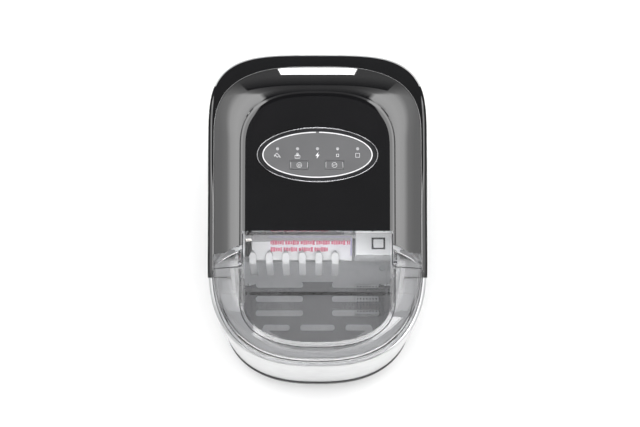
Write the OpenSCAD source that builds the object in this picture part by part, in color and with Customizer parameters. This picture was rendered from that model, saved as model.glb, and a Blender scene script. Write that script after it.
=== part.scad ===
/* [Body] */
// Width over the top deck
body_w = 242; // [236:1:248]
// Depth over the base pan and the deck
body_d = 355; // [349:1:361]
// Height from the table to the top of the control pod
body_h = 328; // [322:1:334]
// Forward slope of the deck and of the pod's top, in mm of fall per mm of run
top_slope = 0.0985; // [0.09:0.001:0.105]
// Thickness of the moulded walls
wall = 2.5; // [2:0.1:3]

/* [Lid] */
// Thickness of the smoked lid
lid_t = 2.5; // [2:0.1:3]
// Radius of the two lid hinge pins
pin_r = 2; // [1.5:0.1:2.5]

/* [Ice making] */
// Number of evaporator fingers
finger_count = 6; // [4:1:6]
// Spacing of the evaporator fingers
finger_pitch = 18.3; // [17:0.1:18.5]
// Holes along each side of the strainer
strainer_holes = 9; // [5:1:9]

/* [Cooling] */
// Number of fan blades
blade_count = 5; // [3:1:7]
// Number of condenser fins
fin_count = 20; // [12:1:24]
// Number of louvres in each side panel
louvre_count = 11; // [6:1:11]

/* [Hidden] */
$fn = 48;

tilt = atan(top_slope);
half_w = body_w / 2;
back_y = body_d / 2;
front_y = -body_d / 2;
deck_z0 = 267;                       // deck height at y = 0
crease_back_y = 124;                 // rear edge of the flat top
top_z0 = body_h - top_slope * crease_back_y;
split_y = -68;                       // seam between the black cabinet and the silver fascia
seam_gap = 0.4;
pan_top_z = 34;
foot_h = 8;
skirt_h = 16;

// Dome: the raised form shared by the control pod and the lid
dome_wall = 0.64;                    // share of the dome's height that is upright wall
dome_bulge = 0.4;                    // how strongly the flank above the wall is rounded
flank_steps = 5;
flange_w = 3.7;
flange_t = 3;
lid_lift = 0.8;                      // the lid's flange rests this far above the ledge, on its bumpers

// Lid hinge
hinge_y = -57;
hinge_z = top_z0 + top_slope * hinge_y - 16.5;
tongue_half = 79;
tongue_back_y = -26.6;
lip_y = -24.6;
shoulder_x = 80;
knuckle_sweep = 75;

// Control panel
panel_y = 56;
panel_half = [59.6, 25.4];
bezel_half = [64.6, 29.4];
key_size = [19.4, 8.8];
key_x = [-19.4, 18];
key_y = -11;
light_y = 6.4;
light_pitch = 21.3;

// Wet compartment
tub_half = 92;
tub_front = -148;
tub_back = 30;
tub_floor = 100;
basket_half = 87;
basket_front = -141;
basket_back = -57;
basket_floor = 142;
finger_x0 = -71.8;
finger_y = -22;
finger_r = 4.5;
tray_axis = [-3, 228];               // y and z of the tray's shaft
tray_x = [-80, 30];
tray_y = [-43, -1];
tray_z = [199, 231];

// Machine compartment
fan_axis = [92, 115];                // y and z
fan_x = 62;
comp_pos = [-46, 108];
drain_pos = [-30, 50];               // y and z on the right side
gland_pos = [62, 66];                 // x and z in the rear panel
screw_x = [-52, 52];
screw_z = [90, 230];

function deck_z(y) = deck_z0 + top_slope * y;
function top_z(y) = top_z0 + top_slope * y;
function mix(a, b, f) = a + (b - a) * f;
function signed_pow(v, p) = sign(v) * pow(abs(v), p);

// Closed plan outline: a superellipse quarter pair at the back, straight sides and another pair at the front
function plan(a, yb, bb, nb, yf, bf, nf, q = 12) = [
    for (i = [0 : 2 * q]) let (t = 90 * i / q)
        [a * signed_pow(cos(t), 2 / nb), yb - bb + bb * pow(abs(sin(t)), 2 / nb)],
    for (i = [0 : 2 * q]) let (t = 90 * i / q)
        [-a * signed_pow(cos(t), 2 / nf), yf + bf - bf * pow(abs(sin(t)), 2 / nf)]
];
// The cabinet's outline, moved in by d all round
function cabinet(d, yf = front_y + 11.3, bf = 113, q = 12) =
    plan(half_w - d, back_y - d, 100 - d, 3.8, yf + d, bf - d, 2.5, q);
// The tub's outline, moved out by d
function tub(d, q = 10) = plan(tub_half + d, tub_back + d, 14 + d, 5, tub_front - d, 86 + d, 2.4, q);
// The basket's outline, with its flat back at basket_back
function basket(d, q = 10) =
    plan(basket_half + d, basket_back + d, 12, 4, basket_front - d, 62, 2.4, q);
function ellipse(half, n = 72) = [
    for (i = [0 : n - 1]) [half[0] * cos(360 * i / n), half[1] * sin(360 * i / n)]];

// One level of the dome: f runs from 0 at the base to 1 at the crease, d moves it inwards
function dome_plan(f, d, q = 14) = plan(
    mix(112, 82, f) - d, mix(155.8, crease_back_y, f) - d, mix(78, 60, f) - d, mix(2.85, 2.6, f),
    mix(-161.4, -146.4, f) + d, mix(110, 50, f) - d, mix(2.5, 2.4, f), q);
function dome_rise(f) = (top_z0 - deck_z0) * (dome_wall + (1 - dome_wall) * f * (1 + dome_bulge * (1 - f)));
function dome_loop(f, t) = at_deck(dome_plan(f, t), dome_rise(f) - t);
function at_deck(loop, dz) = [for (p = loop) [p[0], p[1], deck_z(p[1]) + dz]];
// Height of the flank above the deck at distance x from the centre line
function flank_rise(x) = dome_rise(max(0, min(1, (112 - x) / 30)));
function finger_x(i) = finger_x0 + i * finger_pitch;

// Solid through a list of loops, with both ends closed
module loft(loops) {
    n = len(loops[0]);
    m = len(loops);
    polyhedron(
        points = [for (l = loops) each l],
        faces = [
            [for (i = [0 : n - 1]) n - 1 - i],
            for (j = [0 : m - 2]) for (i = [0 : n - 1]) let (k = (i + 1) % n) each [
                [j * n + i, j * n + k, (j + 1) * n + k],
                [j * n + i, (j + 1) * n + k, (j + 1) * n + i]
            ],
            [for (i = [0 : n - 1]) (m - 1) * n + i]
        ]);
}

// Solid ring through a list of loops, the last joined to the first
module ring_loft(loops) {
    n = len(loops[0]);
    m = len(loops);
    polyhedron(
        points = [for (l = loops) each l],
        faces = [
            for (j = [0 : m - 1]) for (i = [0 : n - 1]) let (k = (i + 1) % n, o = (j + 1) % m) each [
                [j * n + i, j * n + k, o * n + k],
                [j * n + i, o * n + k, o * n + i]
            ]
        ]);
}

// Round pipe swept along a path whose corners are rounded to radius bend
function unit(v) = v / norm(v);
function rounded(path, bend, steps = 4) = [
    path[0],
    for (i = [1 : len(path) - 2]) let (
        a = path[i] + unit(path[i - 1] - path[i]) * bend,
        b = path[i] + unit(path[i + 1] - path[i]) * bend)
        for (s = [0 : steps]) let (t = s / steps)
            (1 - t) * (1 - t) * a + 2 * t * (1 - t) * path[i] + t * t * b,
    path[len(path) - 1]
];
function heading(p, i) = unit(p[min(i + 1, len(p) - 1)] - p[max(i - 1, 0)]);
// Side vectors carried along the path, so that the pipe doesn't twist
function frames(p, i = 0, last = undef) = i == len(p) ? [] : let (
    d = heading(p, i),
    seed = is_undef(last) ? (abs(d[2]) > 0.7 ? [0, 1, 0] : [0, 0, 1]) : last,
    u = unit(seed - d * (seed * d)))
    concat([[u, cross(d, u)]], frames(p, i + 1, u));
module pipe(path, r, bend, sides = 8) {
    p = rounded(path, bend);
    f = frames(p);
    loft([for (i = [0 : len(p) - 1]) [for (s = [0 : sides - 1]) let (a = 360 * s / sides)
        p[i] + r * cos(a) * f[i][0] + r * sin(a) * f[i][1]]]);
}

// Slab between two heights of the sloping deck, wide enough to cut anything
module sloped_slab(z0, z1) {
    rotate([tilt, 0, 0]) translate([-200, -300, z0 * cos(tilt)]) cube([400, 600, (z1 - z0) * cos(tilt)]);
}
// Children in the frame of the pod's sloping top, at the depth y0
module on_top(y0) {
    translate([0, y0, top_z(y0)]) rotate([tilt, 0, 0]) children();
}
module block(x, y, z) {
    translate([x[0], y[0], z[0]]) cube([x[1] - x[0], y[1] - y[0], z[1] - z[0]]);
}
module along_x(pos, r, x0, x1) {
    translate([x0, pos[0], pos[1]]) rotate([0, 90, 0]) cylinder(r = r, h = x1 - x0);
}
module along_y(pos, r, y0, y1) {
    translate([pos[0], y1, pos[1]]) rotate([90, 0, 0]) cylinder(r = r, h = y1 - y0);
}
module both_sides() {
    children();
    mirror([1, 0, 0]) children();
}
module rounded_slot(x, y, h, r) {
    translate([x[0] + r, y, -h / 2]) cylinder(r = r, h = h);
    translate([x[1] - r, y, -h / 2]) cylinder(r = r, h = h);
    translate([x[0] + r, y - r, -h / 2]) cube([x[1] - x[0] - 2 * r, 2 * r, h]);
}

// ---- Cabinet ----

module base_pan() {
    outline = plan(half_w - 0.5, back_y - 1, 99, 3.8, front_y, 101, 2.5);
    inner = plan(half_w - 3, back_y - 3.5, 96.5, 3.8, front_y + 2.5, 98.5, 2.5);
    color([0.06, 0.06, 0.065]) {
        difference() {
            translate([0, 0, foot_h]) linear_extrude(pan_top_z - foot_h - seam_gap) polygon(outline);
            translate([0, 0, foot_h + wall]) linear_extrude(60) polygon(inner);
            for (i = [0 : 6])
                block([-60 + 18 * i, -50 + 18 * i], [-60, -20], [foot_h - 1, foot_h + wall + 1]);
        }
        for (x = [-100, 92]) block([x, x + 4], [-60, 46], [foot_h + wall, foot_h + wall + 8]);
    }
}

module rubber_feet() {
    color([0.03, 0.03, 0.03]) for (x = [-84, 84]) for (y = [-112, 122])
        translate([x, y, 0]) {
            cylinder(r = 9, h = foot_h);
        }
}

// Shell of the cabinet's upright wall between two depths
module cabinet_wall(y0, y1, x0 = -200, x1 = 200) {
    intersection() {
        difference() {
            translate([0, 0, pan_top_z]) linear_extrude(260) polygon(cabinet(1));
            translate([0, 0, pan_top_z - 1]) linear_extrude(262) polygon(cabinet(1 + wall));
        }
        sloped_slab(-100, deck_z0 - skirt_h - seam_gap);
        block([x0, x1], [y0, y1], [0, 320]);
    }
}

module side_louvres() {
    for (i = [0 : louvre_count - 1]) block([100, 140], [52, 132], [62 + 11 * i, 67 + 11 * i]);
}

module side_panel_left() {
    color([0.05, 0.05, 0.055]) difference() {
        cabinet_wall(split_y, 140 - seam_gap, -200, 0);
        mirror([1, 0, 0]) side_louvres();
    }
}

module side_panel_right() {
    color([0.05, 0.05, 0.055]) difference() {
        cabinet_wall(split_y, 140 - seam_gap, 0, 200);
        side_louvres();
        along_x(drain_pos, 14, 100, 140);
    }
}

module rear_panel() {
    color([0.05, 0.05, 0.055]) difference() {
        union() {
            cabinet_wall(140, 200);
            intersection() {
                block([48, 76], [164.5, 190], [52, 80]);
                linear_extrude(200) polygon(cabinet(1));
            }
        }
        // pocket for the cord gland
        block([50, 74], [167, 190], [54, 78]);
        for (i = [0 : 8]) block([-66, 30], [150, 190], [70 + 12 * i, 75 + 12 * i]);
        along_y(gland_pos, 7, 150, 190);
        for (x = screw_x) for (z = screw_z) along_y([x, z], 2, 150, 190);
    }
}

module front_fascia() {
    ledge = 11;
    levels = [for (i = [0 : 5]) i / 5];
    function skin(u, d) = let (
        yf = mix(front_y + 2, front_y + 12.3, pow(u, 1.6)), bf = mix(101, 112, u))
        [for (p = plan(half_w - 1 - d, back_y - 1, 99, 3.8, yf + d, bf - d, 2.5, 14))
            [p[0], p[1], mix(pan_top_z, deck_z(p[1]) - 3, u)]];
    top = plan(half_w - 2.2, back_y - 1, 99, 3.8, front_y + 13.5, 110.8, 2.5, 14);
    edge = plan(half_w - ledge, back_y - 1, 99, 3.8, front_y + 11.3 + ledge, 113 - ledge, 2.5, 14);
    color([0.78, 0.79, 0.8]) intersection() {
        ring_loft(concat(
            [for (u = levels) skin(u, 0)],
            [at_deck(top, 0), at_deck(edge, 0), at_deck(edge, -wall)],
            [for (i = [0 : 5]) skin(0.985 * levels[5 - i], wall)]));
        block([-200, 200], [-200, split_y - seam_gap], [0, 320]);
    }
}

module top_deck() {
    ledge = plan(half_w - 18, back_y - 30, 66, 3, -200, 100, 2.5);
    color([0.02, 0.02, 0.022]) intersection() {
        union() {
            intersection() {
                difference() {
                    linear_extrude(400) polygon(cabinet(0, q = 16));
                    translate([0, 0, -1]) linear_extrude(402) polygon(ledge);
                }
                sloped_slab(deck_z0 - 3, deck_z0);
            }
            intersection() {
                difference() {
                    linear_extrude(400) polygon(cabinet(0, q = 16));
                    translate([0, 0, -1]) linear_extrude(402) polygon(cabinet(wall, q = 16));
                }
                sloped_slab(deck_z0 - skirt_h, deck_z0 - 2);
            }
        }
        block([-200, 200], [split_y, 200], [0, 340]);
    }
}

// Raised shell with a flat sloping top; the flange is the lid's only
module dome(t, lift, flange) {
    foot = [for (p = dome_plan(0, -flange)) [p[0], p[1], deck_z(p[1]) + lift]];
    inner_foot = [for (p = dome_plan(0, t)) [p[0], p[1], deck_z(p[1]) + lift]];
    loft(concat(
        [for (i = [0 : flank_steps]) dome_loop(1 - i / flank_steps, 0)],
        flange > 0
            ? [at_deck(dome_plan(0, 0), lift + flange_t),
                at_deck(dome_plan(0, -flange), lift + flange_t), foot]
            : [foot],
        [inner_foot],
        [for (i = [0 : flank_steps]) dome_loop(i / flank_steps, t)]));
}

module control_pod() {
    color([0.02, 0.02, 0.022]) difference() {
        intersection() {
            dome(wall, 0.1, 0);
            // front edge: a straight lip between two arms that follow the lid's knuckles
            translate([0, 0, 200]) linear_extrude(200) polygon([
                for (s = [1, -1]) let (arm = [[shoulder_x, lip_y], [shoulder_x, -38.6], [88, -41.2],
                    [94, -43.8], [101.5, -48.4], [111.5, -55.6], [130, -55.6], [130, 200]])
                    for (i = [0 : 7]) let (p = arm[s > 0 ? i : 7 - i]) [s * p[0], p[1]]]);
        }
        on_top(panel_y) translate([0, 0, -10]) linear_extrude(20) polygon(ellipse(bezel_half - [1.6, 1.6]));
    }
}

// Leaning posts that carry the lid's pins, one at each side
module hinge_brackets() {
    color([0.03, 0.03, 0.033]) both_sides() difference() {
        union() {
            along_x([hinge_y, hinge_z], 5, 85, 93);
            translate([89, 0, 0]) rotate([90, 0, 90]) linear_extrude(4) polygon([
                [hinge_y - 4, hinge_z + 2], [hinge_y + 2, hinge_z - 4], [-70, 255], [-86, 255]]);
            intersection() {
                block([89, 104], [-86, -70], [250, 270]);
                sloped_slab(deck_z0 - 0.15, deck_z0 + 2.6);
            }
        }
        sloped_slab(200, deck_z0 - 0.15);
        along_x([hinge_y, hinge_z], pin_r, 80, 100);
    }
}

module hinge_pins() {
    color([0.7, 0.7, 0.72]) both_sides() along_x([hinge_y, hinge_z], pin_r, 80.7, 93);
}

// Bulkhead and shelf that keep the wet compartment apart from the electronics
module wet_partition() {
    color([0.12, 0.12, 0.13]) {
        block([-78, 78], [-17, -15], [262, top_z(-17) - 4]);
        block([-96, 96], [-15, 34], [262, 264]);
    }
}

module lid_knuckle() {
    // the flank's own profile turned about the hinge, so that it slides past the pod
    xs = [for (i = [0 : 6]) 81 + 4.5 * i];
    deck = deck_z(hinge_y);
    function r_at(x) = max(0.6, (x < 82 ? top_z(hinge_y) : deck + flank_rise(x)) - hinge_z - 0.6);
    outer = [for (x = xs) [r_at(x), x]];
    inner = [for (i = [0 : 6]) [max(0.3, r_at(xs[6 - i]) - lid_t), xs[6 - i]]];
    translate([0, hinge_y, hinge_z]) rotate([0, 90, 0]) rotate([0, 0, 180 - knuckle_sweep])
        rotate_extrude(angle = knuckle_sweep + 4) polygon(concat(outer, inner));
}

module lid() {
    color([0.35, 0.36, 0.38, 0.45]) {
        difference() {
            union() {
                intersection() {
                    dome(lid_t, lid_lift, flange_w);
                    translate([0, 0, 200]) linear_extrude(200) polygon([
                        [130, -200], [130, hinge_y], [tongue_half, hinge_y],
                        [tongue_half, tongue_back_y], [-tongue_half, tongue_back_y],
                        [-tongue_half, hinge_y], [-130, hinge_y], [-130, -200]]);
                }
                both_sides() along_x([hinge_y, hinge_z], 14.8, 81.6, 84);
            }
            both_sides() along_x([hinge_y, hinge_z], pin_r + 0.05, 70, 84.5);
        }
        both_sides() lid_knuckle();
    }
}

// ---- Controls ----

module control_bezel() {
    color([0.75, 0.75, 0.77]) on_top(panel_y) difference() {
        translate([0, 0, 0.1]) linear_extrude(1.6) polygon(ellipse(bezel_half));
        translate([0, 0, -1]) linear_extrude(5) polygon(ellipse(bezel_half - [2.1, 2.1]));
    }
}

module control_panel() {
    color([0.2, 0.2, 0.21]) on_top(panel_y) difference() {
        union() {
            translate([0, 0, -1.6]) linear_extrude(2.1) polygon(ellipse(panel_half));
            translate([0, 0, -3.6]) linear_extrude(2) polygon(ellipse(bezel_half - [1.9, 1.9]));
        }
        for (x = key_x) translate([x - key_size[0] / 2 - 0.35, key_y - key_size[1] / 2 - 0.35, -5])
            cube([key_size[0] + 0.7, key_size[1] + 0.7, 8]);
        for (i = [-2 : 2]) translate([i * light_pitch, light_y, -5]) cylinder(r = 1.75, h = 8);
    }
}

module indicator_lights() {
    color([0.6, 0.61, 0.62]) on_top(panel_y) for (i = [-2 : 2]) translate([i * light_pitch, light_y, 0]) {
        translate([0, 0, -6]) cylinder(r = 1.65, h = 6.6);
        translate([0, 0, -7.4]) cylinder(r = 2.2, h = 1.5);
    }
}

module key(i) {
    on_top(panel_y) translate([key_x[i], key_y, 0]) {
        translate([-key_size[0] / 2, -key_size[1] / 2, -2.8]) cube([key_size[0], key_size[1], 3.5]);
        translate([0, 0, -6]) cylinder(r = 2, h = 3.5);
    }
}

module power_button() { color([0.22, 0.22, 0.23]) key(0); }
module select_button() { color([0.22, 0.22, 0.23]) key(1); }

module control_board() {
    color([0.05, 0.3, 0.15]) on_top(panel_y) {
        translate([-56, -21, -9.1]) cube([112, 42, 1.6]);
        for (x = key_x) translate([x - 3, key_y - 3, -7.5]) cube([6, 6, 0.8]);
        translate([-12, -18, -13.1]) cube([24, 8, 4]);
        for (x = [-50, 50]) for (y = [-16, 16]) translate([x, y, -7.5]) cylinder(r = 2.4, h = 3.8, $fn = 24);
    }
}

// ---- Wet compartment ----

module inner_liner() {
    color([0.8, 0.81, 0.82]) difference() {
        union() {
            intersection() {
                translate([0, 0, tub_floor - wall]) linear_extrude(250) polygon(tub(wall));
                union() {
                    sloped_slab(-200, deck_z0 - wall - 0.2);
                }
                block([-200, 200], [-200, 200], [0, 261.5]);
            }
            intersection() {
                linear_extrude(400) polygon(plan(half_w - 11.4, tub_back, 10, 4, front_y + 22.7, 101.6, 2.5));
                sloped_slab(deck_z0 - 2.8, deck_z0 - 0.2);
                block([-200, 200], [-200, split_y - 0.4], [0, 320]);
            }
        }
        translate([0, 0, tub_floor]) linear_extrude(250) polygon(tub(0));
        translate([63, -78, tub_floor - 10]) cylinder(r = 7.2, h = 20);
        translate([80, -38, tub_floor - 10]) cylinder(r = 4.2, h = 20);
        for (x = [-60, -48, -36]) along_y([x, 241], 3.6, tub_back - 5, tub_back + 7);
        along_y([24, 242], 4.2, tub_back - 5, tub_back + 7);
    }
    // three rests that the ice basket stands on
    color([0.8, 0.81, 0.82]) intersection() {
        linear_extrude(200) polygon(tub(wall / 2));
        union() {
            both_sides() block([79, 100], [-96, -62], [basket_floor - 8, basket_floor]);
            block([-20, 20], [-160, -134], [basket_floor - 8, basket_floor]);
        }
    }
}

module liner_insulation() {
    color([0.9, 0.9, 0.85]) intersection() {
        difference() {
            translate([0, 0, tub_floor]) linear_extrude(110) polygon(tub(wall + 9));
            translate([0, 0, tub_floor - 1]) linear_extrude(112) polygon(tub(wall + 0.1));
        }
        block([-200, 200], [-200, tub_back + wall + 6], [0, 300]);
    }
}

module strainer_cap() {
    size = 36;
    pitch = 3.75;
    color([0.5, 0.51, 0.52]) translate([63.5, -78, tub_floor]) difference() {
        translate([-size / 2, -size / 2, 0.05]) cube([size, size, 19.95]);
        translate([-size / 2 + 2, -size / 2 + 2, -1]) cube([size - 4, size - 4, 19]);
        for (i = [0 : strainer_holes - 1]) for (j = [0 : strainer_holes - 1])
            translate([(i - (strainer_holes - 1) / 2) * pitch, (j - (strainer_holes - 1) / 2) * pitch, 10])
                cylinder(r = 1, h = 20, $fn = 16);
    }
}

module water_pump() {
    color([0.1, 0.1, 0.11]) {
        translate([63, -78, 62]) cylinder(r = 19, h = 30);
        translate([63, -78, 91.9]) cylinder(r = 7, h = 11);
        translate([63, -78, 50]) cylinder(r = 14, h = 12);
        along_y([63, 82], 4, -62, -52);
        for (x = [40, 78]) block([x, x + 8], [-83, -73], [88, 91]);
    }
}

module fill_hose() {
    color([0.85, 0.87, 0.88]) pipe([
        [63, -51.8, 82], [63, 42.4, 82], [63, 42.4, 200], [24, 42.4, 242],
        [24, -12, 242], [24, -12, 235]], 3.2, 4.5);
}

module drain_hose() {
    color([0.85, 0.87, 0.88]) pipe([
        [80, -38, tub_floor + 1], [80, -38, 78], [80, -30, 50], [98.4, -30, 50]], 4, 7);
}

// Recessed cup in the right side with the drain spigot at its centre
module drain_port() {
    color([0.08, 0.08, 0.085]) difference() {
        union() {
            difference() {
                union() {
                    along_x(drain_pos, 13.7, 102, 118.6);
                    along_x(drain_pos, 16, 115.4, 117.3);
                }
                along_x(drain_pos, 12, 104.5, 125);
            }
            along_x(drain_pos, 6, 98.5, 112);
        }
        along_x(drain_pos, 3.8, 90, 113);
    }
}

module drain_plug() {
    color([0.45, 0.46, 0.48]) {
        difference() {
            along_x(drain_pos, 9, 107, 118);
            along_x(drain_pos, 6.2, 106, 113);
        }
        along_x(drain_pos, 3.6, 107.5, 114);
        block([118, 119.4], [drain_pos[0] - 7, drain_pos[0] + 7], [drain_pos[1] - 1.5, drain_pos[1] + 1.5]);
    }
}

module evaporator() {
    color([0.75, 0.7, 0.62]) {
        along_x([finger_y, 241], 5, finger_x(0) - 6, finger_x(finger_count - 1) + 7);
        for (i = [0 : finger_count - 1]) {
            translate([finger_x(i), finger_y, 206 + finger_r]) cylinder(r = finger_r, h = 32);
            translate([finger_x(i), finger_y, 206 + finger_r]) sphere(r = finger_r);
        }
    }
    for (x = [-60, -48, -36]) color([0.72, 0.42, 0.25]) along_y([x, 241], 3, finger_y + 3, 44);
}

module water_tray() {
    color([0.7, 0.72, 0.73]) {
        difference() {
            block(tray_x, tray_y, tray_z);
            block([tray_x[0] + 2, tray_x[1] - 2], [tray_y[0] + 2, tray_y[1] - 4],
                [tray_z[0] + 2, tray_z[1] + 1]);
        }
        along_x(tray_axis, 3, tray_x[0] - 6.5, tray_x[0] + 0.5);
        along_x(tray_axis, 3, tray_x[1] - 0.5, tray_x[1] + 9);
    }
}

module tray_bracket() {
    color([0.72, 0.73, 0.74]) difference() {
        union() {
            block([-86, -81], [-42.5, 16], [212, 258]);
            block([-92, -81], [6, 16], [212, 258]);
            block([-92, -81], [-42.5, -34], [212, 258]);
        }
        along_x(tray_axis, 3.05, -90, -80);
        block([-84, -70], [-80, 24], [250, 255]);
    }
}

module tray_motor() {
    color([0.35, 0.35, 0.37]) difference() {
        union() {
            along_x(tray_axis, 15, 46, 66);
            along_x(tray_axis, 6, 41, 46.5);
            block([66, 80], [tray_axis[0] - 11, tray_axis[0] + 11], [217, 239]);
        }
        along_x(tray_axis, 3.05, 30, 44);
    }
}

module drive_cover() {
    color([0.78, 0.79, 0.8]) difference() {
        block([42, 92], [-42.5, 16], [198, 257]);
        block([44.5, 93], [-40, 13.5], [196, 254.5]);
        along_x(tray_axis, 6.6, 40, 50);
        block([59.5, 75], [-36.5, -23], [255.2, 258]);
        block([40, 42.9], [-80, 24], [250, 255]);
    }
    color([0.6, 0.61, 0.62]) block([61.8, 72.7], [-34.6, -25.4], [255.2, 256.8]);
}

module ice_shovel() {
    plate = [[-20, 256.5], [-46.2, 241.5], [-54.6, 201], [-52.4, 201], [-44.3, 239.9], [-20, 253.8]];
    color([0.75, 0.76, 0.77]) {
        translate([-73, 0, 0]) rotate([90, 0, 90]) linear_extrude(111.7) polygon(plate);
        for (i = [0 : finger_count - 1]) {
            // rib with a pointed head that runs over the bend of the plate
            rib = [[-37.6, 246.2], [-38.4, 248.4], [-46.9, 243.8], [-49, 240.8], [-56.6, 203], [-56, 200],
                [-54.2, 200], [-45.8, 241]];
            translate([finger_x(i) - 4, 0, 0]) rotate([90, 0, 90]) linear_extrude(8) polygon(rib);
        }
        // guide pins at the two ends
        block([-83, -72.6], [-24, -20.5], [250.5, 254.5]);
        block([38.3, 42.5], [-24, -20.5], [250.5, 254.5]);
    }
}

module shovel_label() {
    // thin sheet stuck on the shovel's sloping face, longer beside the last rib
    function strip(y0, y1) = [for (p = [[y0, 0.02], [y1, 0.02], [y1, 0.32], [y0, 0.32]])
        [p[0], 256.5 + (p[0] + 20) * 15 / 26.2 + p[1]]];
    color([0.85, 0.82, 0.88]) {
        translate([-56, 0, 0]) rotate([90, 0, 90]) linear_extrude(94) polygon(strip(-37, -22));
        translate([25, 0, 0]) rotate([90, 0, 90]) linear_extrude(13) polygon(strip(-45.4, -36));
    }
}

module ice_sensors() {
    color([0.05, 0.05, 0.055]) both_sides() {
        block([85.4, 91.8], [-54, -42.5], [236, 246]);
        along_x([-48, 241], 2.5, 84.2, 85.8);
    }
}

module ice_basket() {
    h = 92;
    color([0.4, 0.41, 0.43, 0.6]) difference() {
        union() {
            translate([0, 0, basket_floor]) linear_extrude(h) polygon(basket(-2));
            translate([0, 0, basket_floor + h - 2.5]) linear_extrude(2.5) polygon(basket(1));
        }
        translate([0, 0, basket_floor + 2]) linear_extrude(h + 9) polygon(basket(-4));
        // the rear wall stops low, under the ice shovel
        block([-84, 84], [basket_back - 8, basket_back + 9], [basket_floor + 12, 300]);
        translate([0, 0, basket_floor]) {
            for (y = [-63.6, -80.6, -97.4]) both_sides() rounded_slot([17, 73.5], y, 30, 3.6);
            translate([0, -84, 0]) rotate([0, 0, 90]) rounded_slot([-14.5, 14.5], 0, 30, 7.6);
            rounded_slot([-20.5, 20.5], -114.6, 30, 3.6);
            both_sides() rounded_slot([33, 64.5], -114.6, 30, 3.6);
            for (x = [-50, -30, -10, 10, 30, 50])
                translate([x, -131.5 + 0.0016 * x * x, -3]) cylinder(r = 3, h = 12, $fn = 24);
        }
        for (y = [-68, -86, -104]) along_x([y, basket_floor + 20], 4, -100, 100);
    }
}

// ---- Machine compartment ----

module compressor() {
    color([0.05, 0.05, 0.055]) translate([comp_pos[0], comp_pos[1], 0]) {
        rotate_extrude() polygon([[0, 24], [38, 24], [44, 32], [46, 44], [46, 84], [48, 85], [48, 89],
            [45, 90], [44, 112], [36, 128], [20, 137], [0, 139]]);
        difference() {
            translate([-45, -36, 19]) cube([90, 72, 6]);
            for (x = [-38, 38]) for (y = [-29, 29]) translate([x, y, 10]) cylinder(r = 4.2, h = 20);
        }
        translate([-58, -10, 60]) cube([13.2, 20, 34]);
    }
}

module compressor_mounts() {
    color([0.08, 0.08, 0.08]) translate([comp_pos[0], comp_pos[1], 0])
        for (x = [-38, 38]) for (y = [-29, 29]) translate([x, y, 0]) {
            translate([0, 0, foot_h + wall]) cylinder(r = 7, h = 19 - foot_h - wall);
            translate([0, 0, 18.9]) cylinder(r = 4.1, h = 7);
            translate([0, 0, 25]) cylinder(r = 7, h = 3);
        }
}

module condenser() {
    x = [84, 104];
    y = [54, 134];
    z = [44, 186];
    pitch = 16.9;
    gap = (y[1] - y[0] - 3) / (fin_count - 1);
    color([0.75, 0.76, 0.78]) {
        for (i = [0 : fin_count - 1]) block(x, [y[0] + 1 + i * gap, y[0] + 1.8 + i * gap], z);
        for (yy = [y[0], y[1] - 1.5]) block([x[0] - 1, x[1] + 1], [yy, yy + 1.5], [foot_h + wall, z[1] + 2]);
    }
    color([0.72, 0.42, 0.25]) {
        for (i = [0 : 7]) along_y([94, 56 + pitch * i], 3.2, y[0] - 3, y[1] + 2);
        for (i = [0 : 6]) translate([94, i % 2 == 0 ? y[0] - 3 : y[1] + 2, 56 + pitch * (i + 0.5)])
            rotate([0, 90, 0]) rotate([0, 0, i % 2 == 0 ? 180 : 0])
                rotate_extrude(angle = 180) translate([pitch / 2, 0]) circle(r = 3.2, $fn = 24);
    }
}

module fan_shroud() {
    color([0.07, 0.07, 0.075]) difference() {
        block([fan_x + 2, 83], [fan_axis[0] - 46, fan_axis[0] + 44], [fan_axis[1] - 62, fan_axis[1] + 62]);
        block([fan_x + 4.5, fan_x + 30], [fan_axis[0] - 43.5, fan_axis[0] + 41.5],
            [fan_axis[1] - 59.5, fan_axis[1] + 59.5]);
        along_x(fan_axis, 40, fan_x - 10, fan_x + 10);
    }
}

module fan_motor() {
    color([0.3, 0.3, 0.32]) {
        along_x(fan_axis, 19, 22, 48);
        along_x(fan_axis, 2.5, 47, 62);
        block([30, 40], [fan_axis[0] - 5, fan_axis[0] + 5], [foot_h + wall, fan_axis[1] - 17]);
        block([24, 46], [fan_axis[0] - 16, fan_axis[0] + 16], [foot_h + wall, foot_h + wall + 3]);
    }
}

module fan_blades() {
    color([0.12, 0.12, 0.13]) difference() {
        union() {
            along_x(fan_axis, 13, 53, 68);
            for (i = [0 : blade_count - 1])
                translate([0, fan_axis[0], fan_axis[1]]) rotate([i * 360 / blade_count, 0, 0])
                    intersection() {
                        translate([60.5, 0, 0]) rotate([0, 0, 32])
                            translate([-1, -13, 11]) cube([2, 26, 26.5]);
                        rotate([0, 90, 0]) cylinder(r = 37.5, h = 100);
                    }
        }
        along_x(fan_axis, 2.56, 50, 62.5);
    }
}

module gas_valve() {
    color([0.15, 0.25, 0.55]) block([-20, 4], [50, 70], [166, 190]);
    color([0.75, 0.6, 0.3]) {
        translate([-8, 60, 154]) cylinder(r = 6, h = 12.1);
        translate([-8, 60, 189.9]) cylinder(r = 4, h = 6);
    }
}

module filter_drier() {
    color([0.72, 0.42, 0.25]) translate([44, 56, 0]) {
        translate([0, 0, 132]) cylinder(r1 = 3, r2 = 9, h = 8);
        translate([0, 0, 140]) cylinder(r = 9, h = 44);
        translate([0, 0, 184]) cylinder(r1 = 9, r2 = 3, h = 8);
    }
}

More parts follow.
